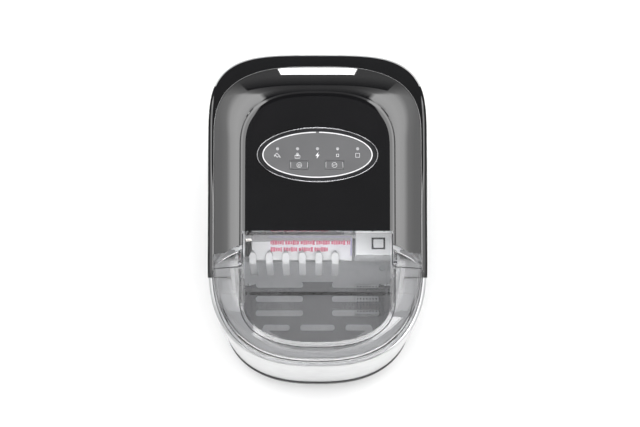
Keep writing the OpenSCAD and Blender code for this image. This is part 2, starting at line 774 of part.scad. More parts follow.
module refrigerant_tubes() {
    copper = [0.72, 0.42, 0.25];
    // discharge line, compressor to condenser
    color(copper) pipe([[-34, 125, 137.2], [-34, 125, 174.3], [-34, 154, 174.3], [94, 154, 174.3],
        [94, 136.2, 174.3]], 3, 8);
    // liquid line, condenser to drier
    color(copper) pipe([[94, 136.2, 56], [94, 148, 56], [12, 148, 56], [12, 148, 118], [12, 56, 118],
        [44, 56, 118], [44, 56, 131.8]], 2.4, 6);
    // capillary, drier to evaporator
    color(copper) pipe([[44, 56, 192.2], [44, 56, 250], [-48, 56, 250], [-48, 52, 241],
        [-48, 44.2, 241]], 1.8, 4);
    // suction line, evaporator to compressor
    color(copper) pipe([[-60, 44.2, 241], [-60, 52, 241], [-60, 52, 150], [-60, 90, 150],
        [-60, 90, 137.2]], 3, 5);
    // hot gas line, compressor to valve and on to the evaporator
    color(copper) pipe([[-22, 96, 138], [-22, 96, 148], [-8, 60, 148], [-8, 60, 153.8]], 2.4, 4);
    color(copper) pipe([[-8, 60, 196.2], [-8, 60, 220], [-8, 52, 241], [-36, 52, 241],
        [-36, 44.2, 241]], 2.4, 3.6);
}

module electronics_shelf() {
    color([0.12, 0.12, 0.13]) {
        intersection() {
            translate([0, 0, 206]) linear_extrude(2) polygon(cabinet(wall + 1.1));
            block([-200, 200], [66, 146], [200, 210]);
        }
        for (x = [-80, 66]) for (y = [70, 138]) translate([x, y, 207.9]) cylinder(r = 3, h = 8.1);
        for (x = [-100, 98]) block([x, x + 2], [68, 144], [200, 206.5]);
    }
}

module power_board() {
    color([0.1, 0.35, 0.18]) block([-82, 68], [66, 142], [216, 217.6]);
    color([0.85, 0.75, 0.2]) block([-70, -36], [80, 110], [217.6, 244]);
    color([0.1, 0.2, 0.5]) for (x = [-20, 2, 24]) block([x, x + 16], [72, 90], [217.6, 234]);
    color([0.1, 0.1, 0.1]) for (x = [-10, 14]) translate([x, 122, 217.5]) cylinder(r = 7, h = 24);
    color([0.9, 0.9, 0.9]) block([44, 60], [100, 134], [217.6, 228]);
}

module panel_harness() {
    color([0.5, 0.5, 0.52]) pipe([[52, 108, 228.1], [52, 108, 262], [52, 60, 290], [0, 60, 290],
        [0, 42, 296], [0, 42, 306.4]], 2.4, 5);
}

module cord_gland() {
    color([0.03, 0.03, 0.03]) translate([gland_pos[0], 0, gland_pos[1]]) rotate([-90, 0, 0]) difference() {
        union() {
            translate([0, 0, 161.5]) cylinder(r = 6.9, h = 7);
            translate([0, 0, 167.1]) cylinder(r = 10, h = 3);
            translate([0, 0, 161.5]) cylinder(r = 9, h = 2.8);
        }
        translate([0, 0, 150]) cylinder(r = 3.6, h = 40);
    }
}

module case_screws() {
    y = back_y - 1.9;
    color([0.3, 0.3, 0.32]) for (x = screw_x) for (z = screw_z) {
        difference() {
            along_y([x, z], 3.4, y - 0.1, y + 1.8);
            block([x - 2.4, x + 2.4], [y + 0.9, y + 4], [z - 0.4, z + 0.4]);
            block([x - 0.4, x + 0.4], [y + 0.9, y + 4], [z - 2.4, z + 2.4]);
        }
        along_y([x, z], 1.6, y - 9, y);
    }
}

base_pan();
rubber_feet();
front_fascia();
side_panel_left();
side_panel_right();
rear_panel();
top_deck();
control_pod();
hinge_brackets();
hinge_pins();
wet_partition();
control_bezel();
control_panel();
indicator_lights();
power_button();
select_button();
control_board();
inner_liner();
liner_insulation();
strainer_cap();
water_pump();
fill_hose();
drain_hose();
drain_port();
drain_plug();
evaporator();
water_tray();
tray_bracket();
tray_motor();
drive_cover();
ice_shovel();
shovel_label();
ice_sensors();
ice_basket();
lid();
compressor();
compressor_mounts();
condenser();
fan_shroud();
fan_motor();
fan_blades();
gas_valve();
filter_drier();
refrigerant_tubes();
electronics_shelf();
power_board();
panel_harness();
cord_gland();
case_screws();
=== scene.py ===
"""Looks of the countertop ice maker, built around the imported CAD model."""

import math

import bmesh
import bpy
from mathutils import Matrix, Vector


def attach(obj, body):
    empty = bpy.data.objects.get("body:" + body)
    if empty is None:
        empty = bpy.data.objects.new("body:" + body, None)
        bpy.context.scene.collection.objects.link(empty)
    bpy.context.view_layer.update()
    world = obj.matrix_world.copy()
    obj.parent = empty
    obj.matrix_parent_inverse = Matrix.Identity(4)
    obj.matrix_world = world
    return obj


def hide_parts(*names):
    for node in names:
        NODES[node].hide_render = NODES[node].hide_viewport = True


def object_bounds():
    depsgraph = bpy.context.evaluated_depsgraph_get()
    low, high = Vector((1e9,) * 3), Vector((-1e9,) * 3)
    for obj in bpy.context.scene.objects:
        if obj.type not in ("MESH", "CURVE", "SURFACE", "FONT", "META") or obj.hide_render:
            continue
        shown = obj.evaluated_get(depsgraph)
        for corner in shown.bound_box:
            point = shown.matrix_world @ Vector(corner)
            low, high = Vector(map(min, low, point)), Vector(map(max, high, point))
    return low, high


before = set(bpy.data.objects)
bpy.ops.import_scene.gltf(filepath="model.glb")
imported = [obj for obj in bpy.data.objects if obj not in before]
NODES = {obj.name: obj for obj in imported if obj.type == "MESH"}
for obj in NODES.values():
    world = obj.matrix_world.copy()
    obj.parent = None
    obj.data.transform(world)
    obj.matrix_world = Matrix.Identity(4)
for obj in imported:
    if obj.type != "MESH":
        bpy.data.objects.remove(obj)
cad_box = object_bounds()

MM = 0.001

# ---- Driving dimensions, in mm, as the CAD model has them ----
HALF_W = cad_box[1][0] / MM
BACK_Y = cad_box[1][1] / MM
FRONT_Y = cad_box[0][1] / MM
SLOPE = 0.0985                      # fall of the deck and of the pod's top towards the front
TILT = math.atan(SLOPE)
DECK_Z0 = 267.0
TOP_Z0 = 328.0 - SLOPE * 124.0
SPLIT_Y = -68.0                     # seam between the black cabinet and the silver front
PAN_TOP = 34.0
FOOT_H = 8.0
SKIRT = 16.0
WALL = 2.5
RISE = TOP_Z0 - DECK_Z0
WALL_SHARE = 0.64
BULGE = 0.4
CROWN = 1.7                         # drop from the flat top to the crease round it
CROWN_W = 8.5
HINGE = (-57.0, TOP_Z0 - SLOPE * 57.0 - 16.5)
LIP_Y = -24.6
PANEL_Y = 56.0
FILM_HALF = (58.7, 24.7)
BEZEL_HALF = (64.6, 29.4)
KEY_SIZE = (19.4, 8.8)
KEY_X = (-19.4, 18.0)
KEY_Y = -11.0
LIGHT_Y = 6.4
LIGHT_PITCH = 21.3
FINGER_X = [-71.8 + 18.3 * i for i in range(6)]
TUB_FLOOR = 100.0
BASKET_FLOOR = 142.0
BASKET_H = 92.0
PIN_HOLE_R = 2.05
PRINT_H = 0.06
SAME_POINT = 1e-7                   # metres between points that are one
BACK_BEND, FRONT_BEND = 3.8, 2.5    # how square the cabinet's back and front corners are
# Half width, back, reach and squareness of the back's curve, then front, reach and squareness of its curve
DOME_FOOT = (112, 155.8, 78, 2.85, -161.4, 110, 2.5)
DOME_TOP = (82, 124, 60, 2.6, -146.4, 50, 2.4)
KNUCKLE_END = math.radians(75)
SIDES = ((-1, "left"), (1, "right"))
WIDE = (-200, 200)                  # past both sides of the object
AHEAD = (-200, SPLIT_Y - 0.4)       # all that lies in front of the seam
FULL_H = (0, 320)
UPPER_H = (200, 340)


def deck_z(y):
    return DECK_Z0 + SLOPE * y


def top_z(y):
    return TOP_Z0 + SLOPE * y


def mix(a, b, f):
    return a + (b - a) * f


def smooth(f):
    f = max(0.0, min(1.0, f))
    return f * f * (3 - 2 * f)


# ---- Outlines, as lists of (x, y) in mm ----

def plan(a, yb, bb, nb, yf, bf, nf, q=36, side=10):
    """Closed outline: rounded back, straight sides, rounded front."""
    def quarter(n):
        steps = [math.pi * i / (2 * q) for i in range(2 * q + 1)]
        return [(math.copysign(abs(math.cos(t)) ** (2 / n), math.cos(t)), abs(math.sin(t)) ** (2 / n))
                for t in steps]
    back = [(a * c, yb - bb + bb * s) for c, s in quarter(nb)]
    front = [(-a * c, yf + bf - bf * s) for c, s in quarter(nf)]
    left = [(-a, mix(yb - bb, yf + bf, i / side)) for i in range(1, side)]
    right = [(a, mix(yf + bf, yb - bb, i / side)) for i in range(1, side)]
    return back + left + front + right


def cabinet(d):
    return plan(HALF_W - d, BACK_Y - d, 100 - d, BACK_BEND, FRONT_Y + 11.3 + d, 113 - d, FRONT_BEND)


def tub(d):
    return plan(92 + d, 30 + d, 14 + d, 5, -148 - d, 86 + d, 2.4)


def basket(d):
    return plan(87 + d, -57 + d, 12, 4, -141 - d, 62, 2.4)


def dome_plan(f, d):
    a, yb, bb, nb, yf, bf, nf = (mix(p, q, f) for p, q in zip(DOME_FOOT, DOME_TOP))
    return plan(a - d, yb - d, bb - d, nb, yf + d, bf - d, nf)


def ellipse(half, n=160):
    return [(half[0] * math.cos(2 * math.pi * i / n), half[1] * math.sin(2 * math.pi * i / n)) for i in range(n)]


def mirrored(half):
    """Outline made of the points of its right half and their mirror images."""
    return half + [(-x, y) for x, y in reversed(half)]


def arc(cx, cy, r, a0, a1, n=12):
    return [(cx + r * math.cos(mix(a0, a1, i / n)), cy + r * math.sin(mix(a0, a1, i / n))) for i in range(n + 1)]


def rounded_box(x0, x1, y0, y1, r):
    h, n = math.pi / 2, 6
    return (arc(x1 - r, y1 - r, r, 0, h, n) + arc(x0 + r, y1 - r, r, h, 2 * h, n)
            + arc(x0 + r, y0 + r, r, 2 * h, 3 * h, n) + arc(x1 - r, y0 + r, r, 3 * h, 4 * h, n))


def flat(loop, z):
    return [(x, y, z) for x, y in loop]


def at_deck(loop, rise):
    return [(x, y, deck_z(y) + rise) for x, y in loop]


def flank_share(x):
    """How far up the dome's flank x is, 0 at its foot and 1 at its crease."""
    return max(0.0, min(1.0, (DOME_FOOT[0] - x) / (DOME_FOOT[0] - DOME_TOP[0])))


def flank_rise(f):
    """Height above the deck of the dome's rounded flank, f from 0 at the wall to 1 at the crease."""
    start = RISE * WALL_SHARE
    return start + (RISE - CROWN - start) * f * (1 + BULGE * (1 - f))


# ---- Mesh building ----

def add_object(name, data):
    obj = bpy.data.objects.new(name, data)
    bpy.context.scene.collection.objects.link(obj)
    return obj


def new_object(name, verts, faces):
    mesh = bpy.data.meshes.new(name)
    mesh.from_pydata([(x * MM, y * MM, z * MM) for x, y, z in verts], [], faces)
    tidy = bmesh.new()
    tidy.from_mesh(mesh)
    bmesh.ops.remove_doubles(tidy, verts=tidy.verts, dist=SAME_POINT)
    bmesh.ops.recalc_face_normals(tidy, faces=tidy.faces)
    tidy.to_mesh(mesh)
    tidy.free()
    return add_object(name, mesh)


def loft(name, loops, ring=False):
    """Surface through equal closed loops; ring joins the last to the first, else caps close the ends."""
    n, m = len(loops[0]), len(loops)
    faces = [(j * n + i, j * n + (i + 1) % n, (j + 1) % m * n + (i + 1) % n, (j + 1) % m * n + i)
             for j in range(m if ring else m - 1) for i in range(n)]
    if not ring:
        faces += [tuple(range(n - 1, -1, -1)), tuple((m - 1) * n + i for i in range(n))]
    return new_object(name, [p for loop in loops for p in loop], faces)


def prism(name, loop, z0, z1):
    return loft(name, [flat(loop, z0), flat(loop, z1)])


def block(name, x, y, z):
    return prism(name, [(x[0], y[0]), (x[1], y[0]), (x[1], y[1]), (x[0], y[1])], z[0], z[1])


def side_prism(name, outline, x0, x1):
    """Outline of (y, z) points drawn out along x."""
    return loft(name, [[(x0, y, z) for y, z in outline], [(x1, y, z) for y, z in outline]])


def rod(name, axis, centre, r, a0, a1, n=48):
    ring = ellipse((r, r), n)
    place = {"x": lambda u, p, q: (u, centre[0] + p, centre[1] + q),
             "y": lambda u, p, q: (centre[0] + p, u, centre[1] + q),
             "z": lambda u, p, q: (centre[0] + p, centre[1] + q, u)}[axis]
    return loft(name, [[place(a0, p, q) for p, q in ring], [place(a1, p, q) for p, q in ring]])


def on_top(obj):
    """Moves a mesh made in the frame of the pod's sloping top to its place."""
    place = Matrix.Translation((0, PANEL_Y * MM, top_z(PANEL_Y) * MM))
    obj.data.transform(place @ Matrix.Rotation(TILT, 4, "X"))
    return obj


def join(name, parts):
    """One object with the meshes of several."""
    whole = bmesh.new()
    for part in parts:
        whole.from_mesh(part.data)
    mesh = bpy.data.meshes.new(name)
    whole.to_mesh(mesh)
    whole.free()
    for part in parts:
        bpy.data.objects.remove(part)
    return add_object(name, mesh)


def combine(obj, tool, how="DIFFERENCE"):
    """Boolean of obj with tool, applied; the tool is removed."""
    cut = obj.modifiers.new("cut", "BOOLEAN")
    cut.operation = how
    cut.solver = "EXACT"
    cut.object = tool
    graph = bpy.context.evaluated_depsgraph_get()
    mesh = bpy.data.meshes.new_from_object(obj.evaluated_get(graph))
    obj.modifiers.clear()
    obj.data = mesh
    bpy.data.objects.remove(tool)
    return obj


def keep(obj, x, y, z):
    """Cuts off all of obj that is outside the block."""
    return combine(obj, block("tool", x, y, z), "INTERSECT")


def keep_inside(obj, outline):
    """Cuts off all of obj that is outside the outline, seen from above."""
    return combine(obj, prism("tool", outline, 200, 400), "INTERSECT")


def soften(obj, width, angle):
    """Rounds the edges that are sharper than the angle."""
    soft = obj.modifiers.new("edge", "BEVEL")
    soft.width = width * MM
    soft.segments = 2
    soft.limit_method = "ANGLE"
    soft.angle_limit = math.radians(angle)
    return soft


def shade(obj, angle, bevel=0.0):
    """Smooth shading with sharp edges past the angle, or rounded ones of that width."""
    for face in obj.data.polygons:
        face.use_smooth = True
    if bevel:
        soften(obj, bevel, angle).miter_outer = "MITER_ARC"
    else:
        obj.data.set_sharp_from_angle(angle=math.radians(angle))
    even = obj.modifiers.new("normals", "WEIGHTED_NORMAL")
    even.keep_sharp = True
    even.weight = 80
    return obj


def finish(obj, body, slot, material=None, replaces=()):
    """Material and body of a piece; hides the CAD nodes that it replaces."""
    obj.data.materials.clear()
    obj.data.materials.append(MATERIALS[material or slot])
    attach(obj, body)
    if replaces:
        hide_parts(*replaces)
    return obj


# ---- Materials ----

def set_inputs(node, **values):
    """Sets a shader node's own inputs; an underscore in a name stands for a space."""
    for name, value in values.items():
        node.inputs[name.replace("_", " ")].default_value = value
    return node


def add_node(tree, kind, **values):
    return set_inputs(tree.nodes.new(kind), **values)


def new_material(name, stretch=(1, 1, 1)):
    """Node material, with its tree, its shader and its texture coordinates."""
    material = bpy.data.materials.new(name)
    material.use_nodes = True
    tree = material.node_tree
    source = add_node(tree, "ShaderNodeTexCoord")
    place = add_node(tree, "ShaderNodeMapping", Scale=stretch)
    tree.links.new(source.outputs["Object"], place.inputs["Vector"])
    return material, tree, tree.nodes["Principled BSDF"], place.outputs["Vector"]


def noise(tree, vector, scale, detail=3.0, rough=0.5):
    n = add_node(tree, "ShaderNodeTexNoise", Scale=scale, Detail=detail, Roughness=rough)
    tree.links.new(vector, n.inputs["Vector"])
    return n.outputs["Fac"]


def cells(tree, vector, scale, out="Distance"):
    v = add_node(tree, "ShaderNodeTexVoronoi", Scale=scale)
    tree.links.new(vector, v.inputs["Vector"])
    return v.outputs[out]


def spread(tree, value, low, high):
    """Maps a texture's usual 0.3 to 0.7 range to low to high."""
    m = add_node(tree, "ShaderNodeMapRange", From_Min=0.3, From_Max=0.7, To_Min=low, To_Max=high)
    tree.links.new(value, m.inputs["Value"])
    return m.outputs["Result"]


def blend_colour(tree, factor, a, b):
    c = tree.nodes.new("ShaderNodeMix")
    c.data_type = "RGBA"
    c.inputs[6].default_value = (*a, 1)
    c.inputs[7].default_value = (*b, 1)
    tree.links.new(factor, c.inputs[0])
    return c.outputs[2]


def bump(tree, shader, height, strength, depth):
    b = add_node(tree, "ShaderNodeBump", Strength=strength, Distance=depth * MM)
    tree.links.new(height, b.inputs["Height"])
    tree.links.new(b.outputs["Normal"], shader.inputs["Normal"])


def tint(tree, shader, factor, dark, light):
    """Base colour that a texture moves between dark and light."""
    tree.links.new(blend_colour(tree, spread(tree, factor, 0, 1), dark, light), shader.inputs["Base Color"])


def wear(tree, shader, factor, low, high):
    """Roughness that a texture moves between low and high."""
    tree.links.new(spread(tree, factor, low, high), shader.inputs["Roughness"])


def scaled(colour, k):
    return tuple(c * k for c in colour)


def surface(name, colour, rough, vary, rough_vary, grain, metal=0.0, coat=0.0, tone_scale=30.0,
            stretch=(1, 1, 1), sheen=0.0):
    """Opaque material: tone and gloss drift slowly, and grain = (scale, strength, depth in mm) is its texture."""
    material, tree, shader, vector = new_material(name, stretch)
    tint(tree, shader, noise(tree, vector, tone_scale, 4.0), scaled(colour, 1 - vary), scaled(colour, 1 + vary))
    wear(tree, shader, noise(tree, vector, tone_scale * 3.7, 5.0, 0.6), max(0.02, rough - rough_vary),
         rough + rough_vary)
    set_inputs(shader, Metallic=metal, Coat_Weight=coat, Coat_Roughness=0.03, Sheen_Weight=sheen)
    bump(tree, shader, noise(tree, vector, grain[0], 2.0), grain[1], grain[2])
    return material


def cellular(name, colour, rough, scale, depth, vary=0.15, colour2=None):
    """Material broken into small cells: foam and solder mask."""
    material, tree, shader, vector = new_material(name)
    cell = cells(tree, vector, scale)
    tint(tree, shader, cell, colour2 or scaled(colour, 1 - vary), colour)
    wear(tree, shader, noise(tree, vector, scale * 0.1, 3.0), max(0.02, rough - 0.06), rough + 0.06)
    bump(tree, shader, cell, 0.4, depth)
    return material


def smoked(name, colour, lamp_tint, rough, cloud, ior=1.49):
    """Clear or cloudy smoked plastic: glass that lets lamps through with its own tint."""
    material, tree, shader, vector = new_material(name)
    tint(tree, shader, noise(tree, vector, 14.0, 2.0), scaled(colour, 0.97), scaled(colour, 1.03))
    wear(tree, shader, noise(tree, vector, 160.0, 4.0, 0.6), rough * 0.6, rough * 1.4)
    set_inputs(shader, IOR=ior, Transmission_Weight=1.0 - cloud)
    bump(tree, shader, noise(tree, vector, 35.0, 1.0), 0.04, 0.2)
    through = add_node(tree, "ShaderNodeBsdfTransparent", Color=(*lamp_tint, 1))
    rays = add_node(tree, "ShaderNodeLightPath")
    choose = add_node(tree, "ShaderNodeMixShader")
    out = tree.nodes["Material Output"]
    tree.links.new(rays.outputs["Is Shadow Ray"], choose.inputs[0])
    tree.links.new(shader.outputs[0], choose.inputs[1])
    tree.links.new(through.outputs[0], choose.inputs[2])
    tree.links.new(choose.outputs[0], out.inputs["Surface"])
    return material


def silver_paint(name, tone):
    """Silver paint: fine metal flake under a clear coat."""
    material, tree, shader, vector = new_material(name)
    tint(tree, shader, noise(tree, vector, 1200.0, 2.0), tuple(tone * k for k in (0.93, 0.94, 0.95)),
         tuple(tone * k for k in (1.05, 1.06, 1.07)))
    wear(tree, shader, noise(tree, vector, 60.0, 4.0), 0.30, 0.40)
    bump(tree, shader, cells(tree, vector, 2600.0, "Color"), 0.06, 0.03)
    set_inputs(shader, Metallic=0.55, Coat_Weight=0.6, Coat_Roughness=0.06)
    return material


# Colour, roughness, drift of the tone and of the roughness, grain (scale, strength, depth in mm), options
SURFACES = {
    "black_matte": ((0.022, 0.022, 0.024), 0.5, 0.12, 0.05, (1300, 0.35, 0.06), {}),
    "black_satin": ((0.016, 0.016, 0.018), 0.32, 0.1, 0.03, (1500, 0.1, 0.015), {}),
    "black_gloss": ((0.0055, 0.0055, 0.006), 0.035, 0.1, 0.015, (90, 0.015, 0.06), {"coat": 1.0}),
    "foot_rubber": ((0.02, 0.02, 0.02), 0.8, 0.2, 0.08, (900, 0.5, 0.1), {}),
    "steel_pin": ((0.42, 0.42, 0.44), 0.25, 0.05, 0.06, (1500, 0.2, 0.02), {"metal": 1.0, "stretch": (0.1, 1, 1)}),
    "dark_plastic": ((0.05, 0.05, 0.055), 0.45, 0.1, 0.06, (1100, 0.3, 0.05), {}),
    "bezel_chrome": ((0.3, 0.3, 0.31), 0.2, 0.05, 0.05, (400, 0.05, 0.02), {"metal": 1.0}),
    "panel_film": ((0.085, 0.085, 0.088), 0.42, 0.04, 0.05, (1400, 0.15, 0.02), {}),
    "panel_print": ((0.62, 0.62, 0.63), 0.5, 0.06, 0.05, (1400, 0.1, 0.01), {}),
    "light_lens": ((0.34, 0.34, 0.35), 0.25, 0.08, 0.05, (700, 0.1, 0.02), {"coat": 0.5}),
    "key_grey": ((0.09, 0.09, 0.093), 0.4, 0.04, 0.05, (1400, 0.15, 0.02), {}),
    "liner_grey": ((0.80, 0.81, 0.82), 0.3, 0.03, 0.06, (500, 0.08, 0.04), {}),
    # liner_grey made darker: painted shade on the ledge and hinge parts seen through the lid's sides
    "shaded_liner_grey": ((0.25, 0.253, 0.257), 0.35, 0.03, 0.06, (500, 0.08, 0.04), {}),
    "strainer_grey": ((0.66, 0.67, 0.68), 0.4, 0.06, 0.05, (800, 0.15, 0.03), {}),
    "clear_hose": ((0.7, 0.72, 0.73), 0.35, 0.05, 0.06, (300, 0.1, 0.05), {"sheen": 0.2}),
    "plug_grey": ((0.24, 0.25, 0.26), 0.6, 0.08, 0.06, (700, 0.3, 0.05), {}),
    "evaporator_metal": ((0.62, 0.6, 0.56), 0.3, 0.1, 0.08, (350, 0.2, 0.05), {"metal": 1.0}),
    "tray_grey": ((0.5, 0.51, 0.52), 0.35, 0.05, 0.06, (500, 0.1, 0.04), {}),
    "shovel_grey": ((0.54, 0.545, 0.55), 0.32, 0.03, 0.05, (600, 0.1, 0.03), {}),
    # grey of the strip painted as the pod lip's shadow on the shovel's slope
    "lip_shadow_grey": ((0.25, 0.25, 0.255), 0.4, 0.04, 0.05, (600, 0.1, 0.03), {}),
    "label_film": ((0.56, 0.555, 0.585), 0.45, 0.03, 0.05, (900, 0.1, 0.02), {"tone_scale": 80}),
    "label_edge": ((0.26, 0.23, 0.42), 0.45, 0.06, 0.05, (900, 0.1, 0.01), {"tone_scale": 90}),
    "label_ink": ((0.50, 0.09, 0.16), 0.5, 0.2, 0.05, (900, 0.1, 0.01), {"tone_scale": 400}),
    "compressor_black": ((0.02, 0.02, 0.022), 0.3, 0.2, 0.08, (250, 0.15, 0.1), {"coat": 0.4}),
    "fin_aluminium": ((0.75, 0.76, 0.78), 0.35, 0.08, 0.08, (900, 0.3, 0.05),
                      {"metal": 1.0, "stretch": (1, 1, 0.05)}),
    "motor_metal": ((0.4, 0.4, 0.42), 0.4, 0.1, 0.08, (600, 0.2, 0.04), {"metal": 0.9}),
    "valve_metal": ((0.08, 0.14, 0.32), 0.4, 0.1, 0.08, (500, 0.2, 0.05), {"metal": 0.3}),
    "copper": ((0.72, 0.38, 0.23), 0.28, 0.15, 0.1, (500, 0.1, 0.03), {"metal": 1.0, "tone_scale": 60}),
    "wire_sleeve": ((0.12, 0.12, 0.125), 0.5, 0.1, 0.05, (1000, 0.4, 0.1), {"stretch": (0.2, 1, 1)}),
    "floor": ((0.86, 0.86, 0.86), 0.7, 0.004, 0.05, (200, 0.02, 0.05), {"tone_scale": 2}),
}
MATERIALS = {name: surface(name, *row[:-1], **row[-1]) for name, row in SURFACES.items()}
MATERIALS |= {
    "silver_front": silver_paint("silver_front", 0.41),
    # silver of the rear trim, a painted highlight along the deck's back edge
    "highlight_silver": silver_paint("highlight_silver", 0.40),
    "circuit_green": cellular("circuit_green", (0.03, 0.19, 0.08), 0.4, 260, 0.05, colour2=(0.02, 0.12, 0.05)),
    "foam": cellular("foam", (0.75, 0.72, 0.62), 0.9, 700, 0.6, 0.25),
    "smoked_basket": smoked("smoked_basket", (0.46, 0.46, 0.465), (0.9, 0.9, 0.905), 0.03, 0.10, 1.12),
    "smoked_lid": smoked("smoked_lid", (0.70, 0.70, 0.705), (0.84, 0.84, 0.845), 0.02, 0.0),
}

# Finish of each CAD node that stays on show
SHOWN = {
    "black_matte": ["wet_partition", "drain_port", "cord_gland"],
    "liner_grey": ["drive_cover", "tray_bracket"],
    # the darker copy of the liner grey: painted shade
    "shaded_liner_grey": ["hinge_brackets"],
    "foot_rubber": ["rubber_feet", "compressor_mounts"],
    "steel_pin": ["hinge_pins", "case_screws"],
    "dark_plastic": ["water_pump", "fan_shroud", "fan_blades"],
    "circuit_green": ["control_board", "power_board"],
    "foam": ["liner_insulation"],
    "strainer_grey": ["strainer_cap"],
    "clear_hose": ["fill_hose", "drain_hose"],
    "plug_grey": ["drain_plug"],
    "evaporator_metal": ["evaporator"],
    "tray_grey": ["water_tray", "ice_sensors"],
    "motor_metal": ["tray_motor", "fan_motor", "electronics_shelf"],
    "compressor_black": ["compressor"],
    "fin_aluminium": ["condenser"],
    "valve_metal": ["gas_valve"],
    "copper": ["filter_drier", "refrigerant_tubes"],
    "wire_sleeve": ["panel_harness"],
}
BEVELS = {"hinge_brackets": 0.4, "drain_port": 0.4, "ice_sensors": 0.5, "strainer_cap": 0.25, "water_tray": 0.5,
          "tray_bracket": 0.4, "drive_cover": 0.7, "rubber_feet": 0.8, "drain_plug": 0.4, "cord_gland": 0.4,
          "wet_partition": 0.4, "fan_shroud": 0.3}


def dress_cad_nodes():
    """Materials, joined vertices and softened edges for the CAD nodes that stay on show."""
    for slot, names in SHOWN.items():
        for name in names:
            node = NODES[name]
            node.data.materials.clear()
            node.data.materials.append(MATERIALS[slot])
            weld = node.modifiers.new("weld", "WELD")
            weld.merge_threshold = 0.002 * MM
            if name in BEVELS:
                soften(node, BEVELS[name], 40)


# ---- Cabinet ----

def dome_shell(name, wall, lift, flange):
    """The raised form that the pod and the lid share: upright wall, rounded flank, crease and crowned top."""
    start = RISE * WALL_SHARE
    outer = [at_deck(dome_plan(1, CROWN_W), RISE)]
    for i in range(6, -1, -1):
        e = i / 7
        outer.append(at_deck(dome_plan(1, CROWN_W * e), RISE - CROWN * (1 - e) ** 2))
    outer.append([(x, y, deck_z(y) + flank_rise(0.985) - 0.55 * smooth((112 - y) / 14))
                  for x, y in dome_plan(0.985, 0)])
    for i in range(17):
        f = mix(0.968, 0.05, i / 16)
        outer.append(at_deck(dome_plan(f, 0), flank_rise(f)))
    for i in range(1, 6):
        s = 1 - i / 5
        rise = (1 - s) ** 2 * (start - 1.7) + 2 * s * (1 - s) * start + s * s * flank_rise(0.05)
        outer.append(at_deck(dome_plan(0.05 * s * s, 0), rise))
    if flange:
        top = lift + 3.0
        for i in range(5):
            a = math.pi / 2 * i / 4
            outer.append(at_deck(dome_plan(0, -0.9 * (1 - math.cos(a))), top + 0.9 * (1 - math.sin(a))))
        for i in range(5):
            a = math.pi / 2 * i / 4
            outer.append(at_deck(dome_plan(0, -(flange - 0.7 + 0.7 * math.sin(a))), top - 0.7 + 0.7 * math.cos(a)))
        outer.append(at_deck(dome_plan(0, -flange), lift + 0.4))
        outer.append(at_deck(dome_plan(0, -flange + 0.4), lift))
    else:
        outer.append(at_deck(dome_plan(0, 0), lift))
    inner = [at_deck(dome_plan(0, wall), lift)]
    for i in range(9):
        f = i / 8
        inner.append(at_deck(dome_plan(f, wall), flank_rise(f) - wall))
    inner.append(at_deck(dome_plan(1, wall + 4), RISE - wall))
    return loft(name, outer + inner)


ARM_INNER = [(80, -38.6), (88, -41.2), (94, -43.8), (97.2, -45.8)]   # beside the lid's turning corner
ARM_OUTER = [(101.5, -48.4), (111.5, -55.6), (130, -55.6)]
ARM_STOP = (130, -48.0)                 # from here forwards the smoked hinge cover takes over


def control_pod():
    shell = dome_shell("pod_shell", WALL, 0.1, 0)
    arm = [(80, LIP_Y), *ARM_INNER, ARM_STOP, (130, 200)]
    keep_inside(shell, mirrored(arm))
    hole = on_top(prism("tool", ellipse((BEZEL_HALF[0] - 1.6, BEZEL_HALF[1] - 1.6)), -10, 10))
    combine(shell, hole)
    shade(shell, 38, 0.45)
    finish(shell, "cabinet", "black_gloss", replaces=["control_pod"])
    # lip that closes the pod's front edge above the lid's tongue
    lip = [(LIP_Y + 0.25, top_z(LIP_Y) - 6), (LIP_Y + 0.25, top_z(LIP_Y) - 2.2), (LIP_Y + 1.6, top_z(LIP_Y) - 2.6),
           (LIP_Y + 1.6, top_z(LIP_Y) - 6)]
    strip = side_prism("pod_lip", lip, -78.5, 78.5)
    shade(strip, 30, 0.3)
    finish(strip, "cabinet", "black_gloss")


def hinge_covers():
    """Smoked covers at the front of the pod's arms, beside the lid's turning corners."""
    for side, name in SIDES:
        cover = dome_shell(f"hinge_cover_{name}", WALL, 0.1, 0)
        outline = [(x, y - 0.25) for x, y in (ARM_INNER[-1], ARM_STOP)] + ARM_OUTER[::-1]
        outline = [(side * x, y) for x, y in (outline if side > 0 else reversed(outline))]
        keep_inside(cover, outline)
        finish(shade(cover, 38, 0.3), "cabinet", "smoked_lid")


def edge_weight(x, y):
    """1 along the straight sides of the deck, falling to 0 where the back corners begin."""
    return smooth((140 - y) / 28) * smooth((abs(x) - 112) / 6)


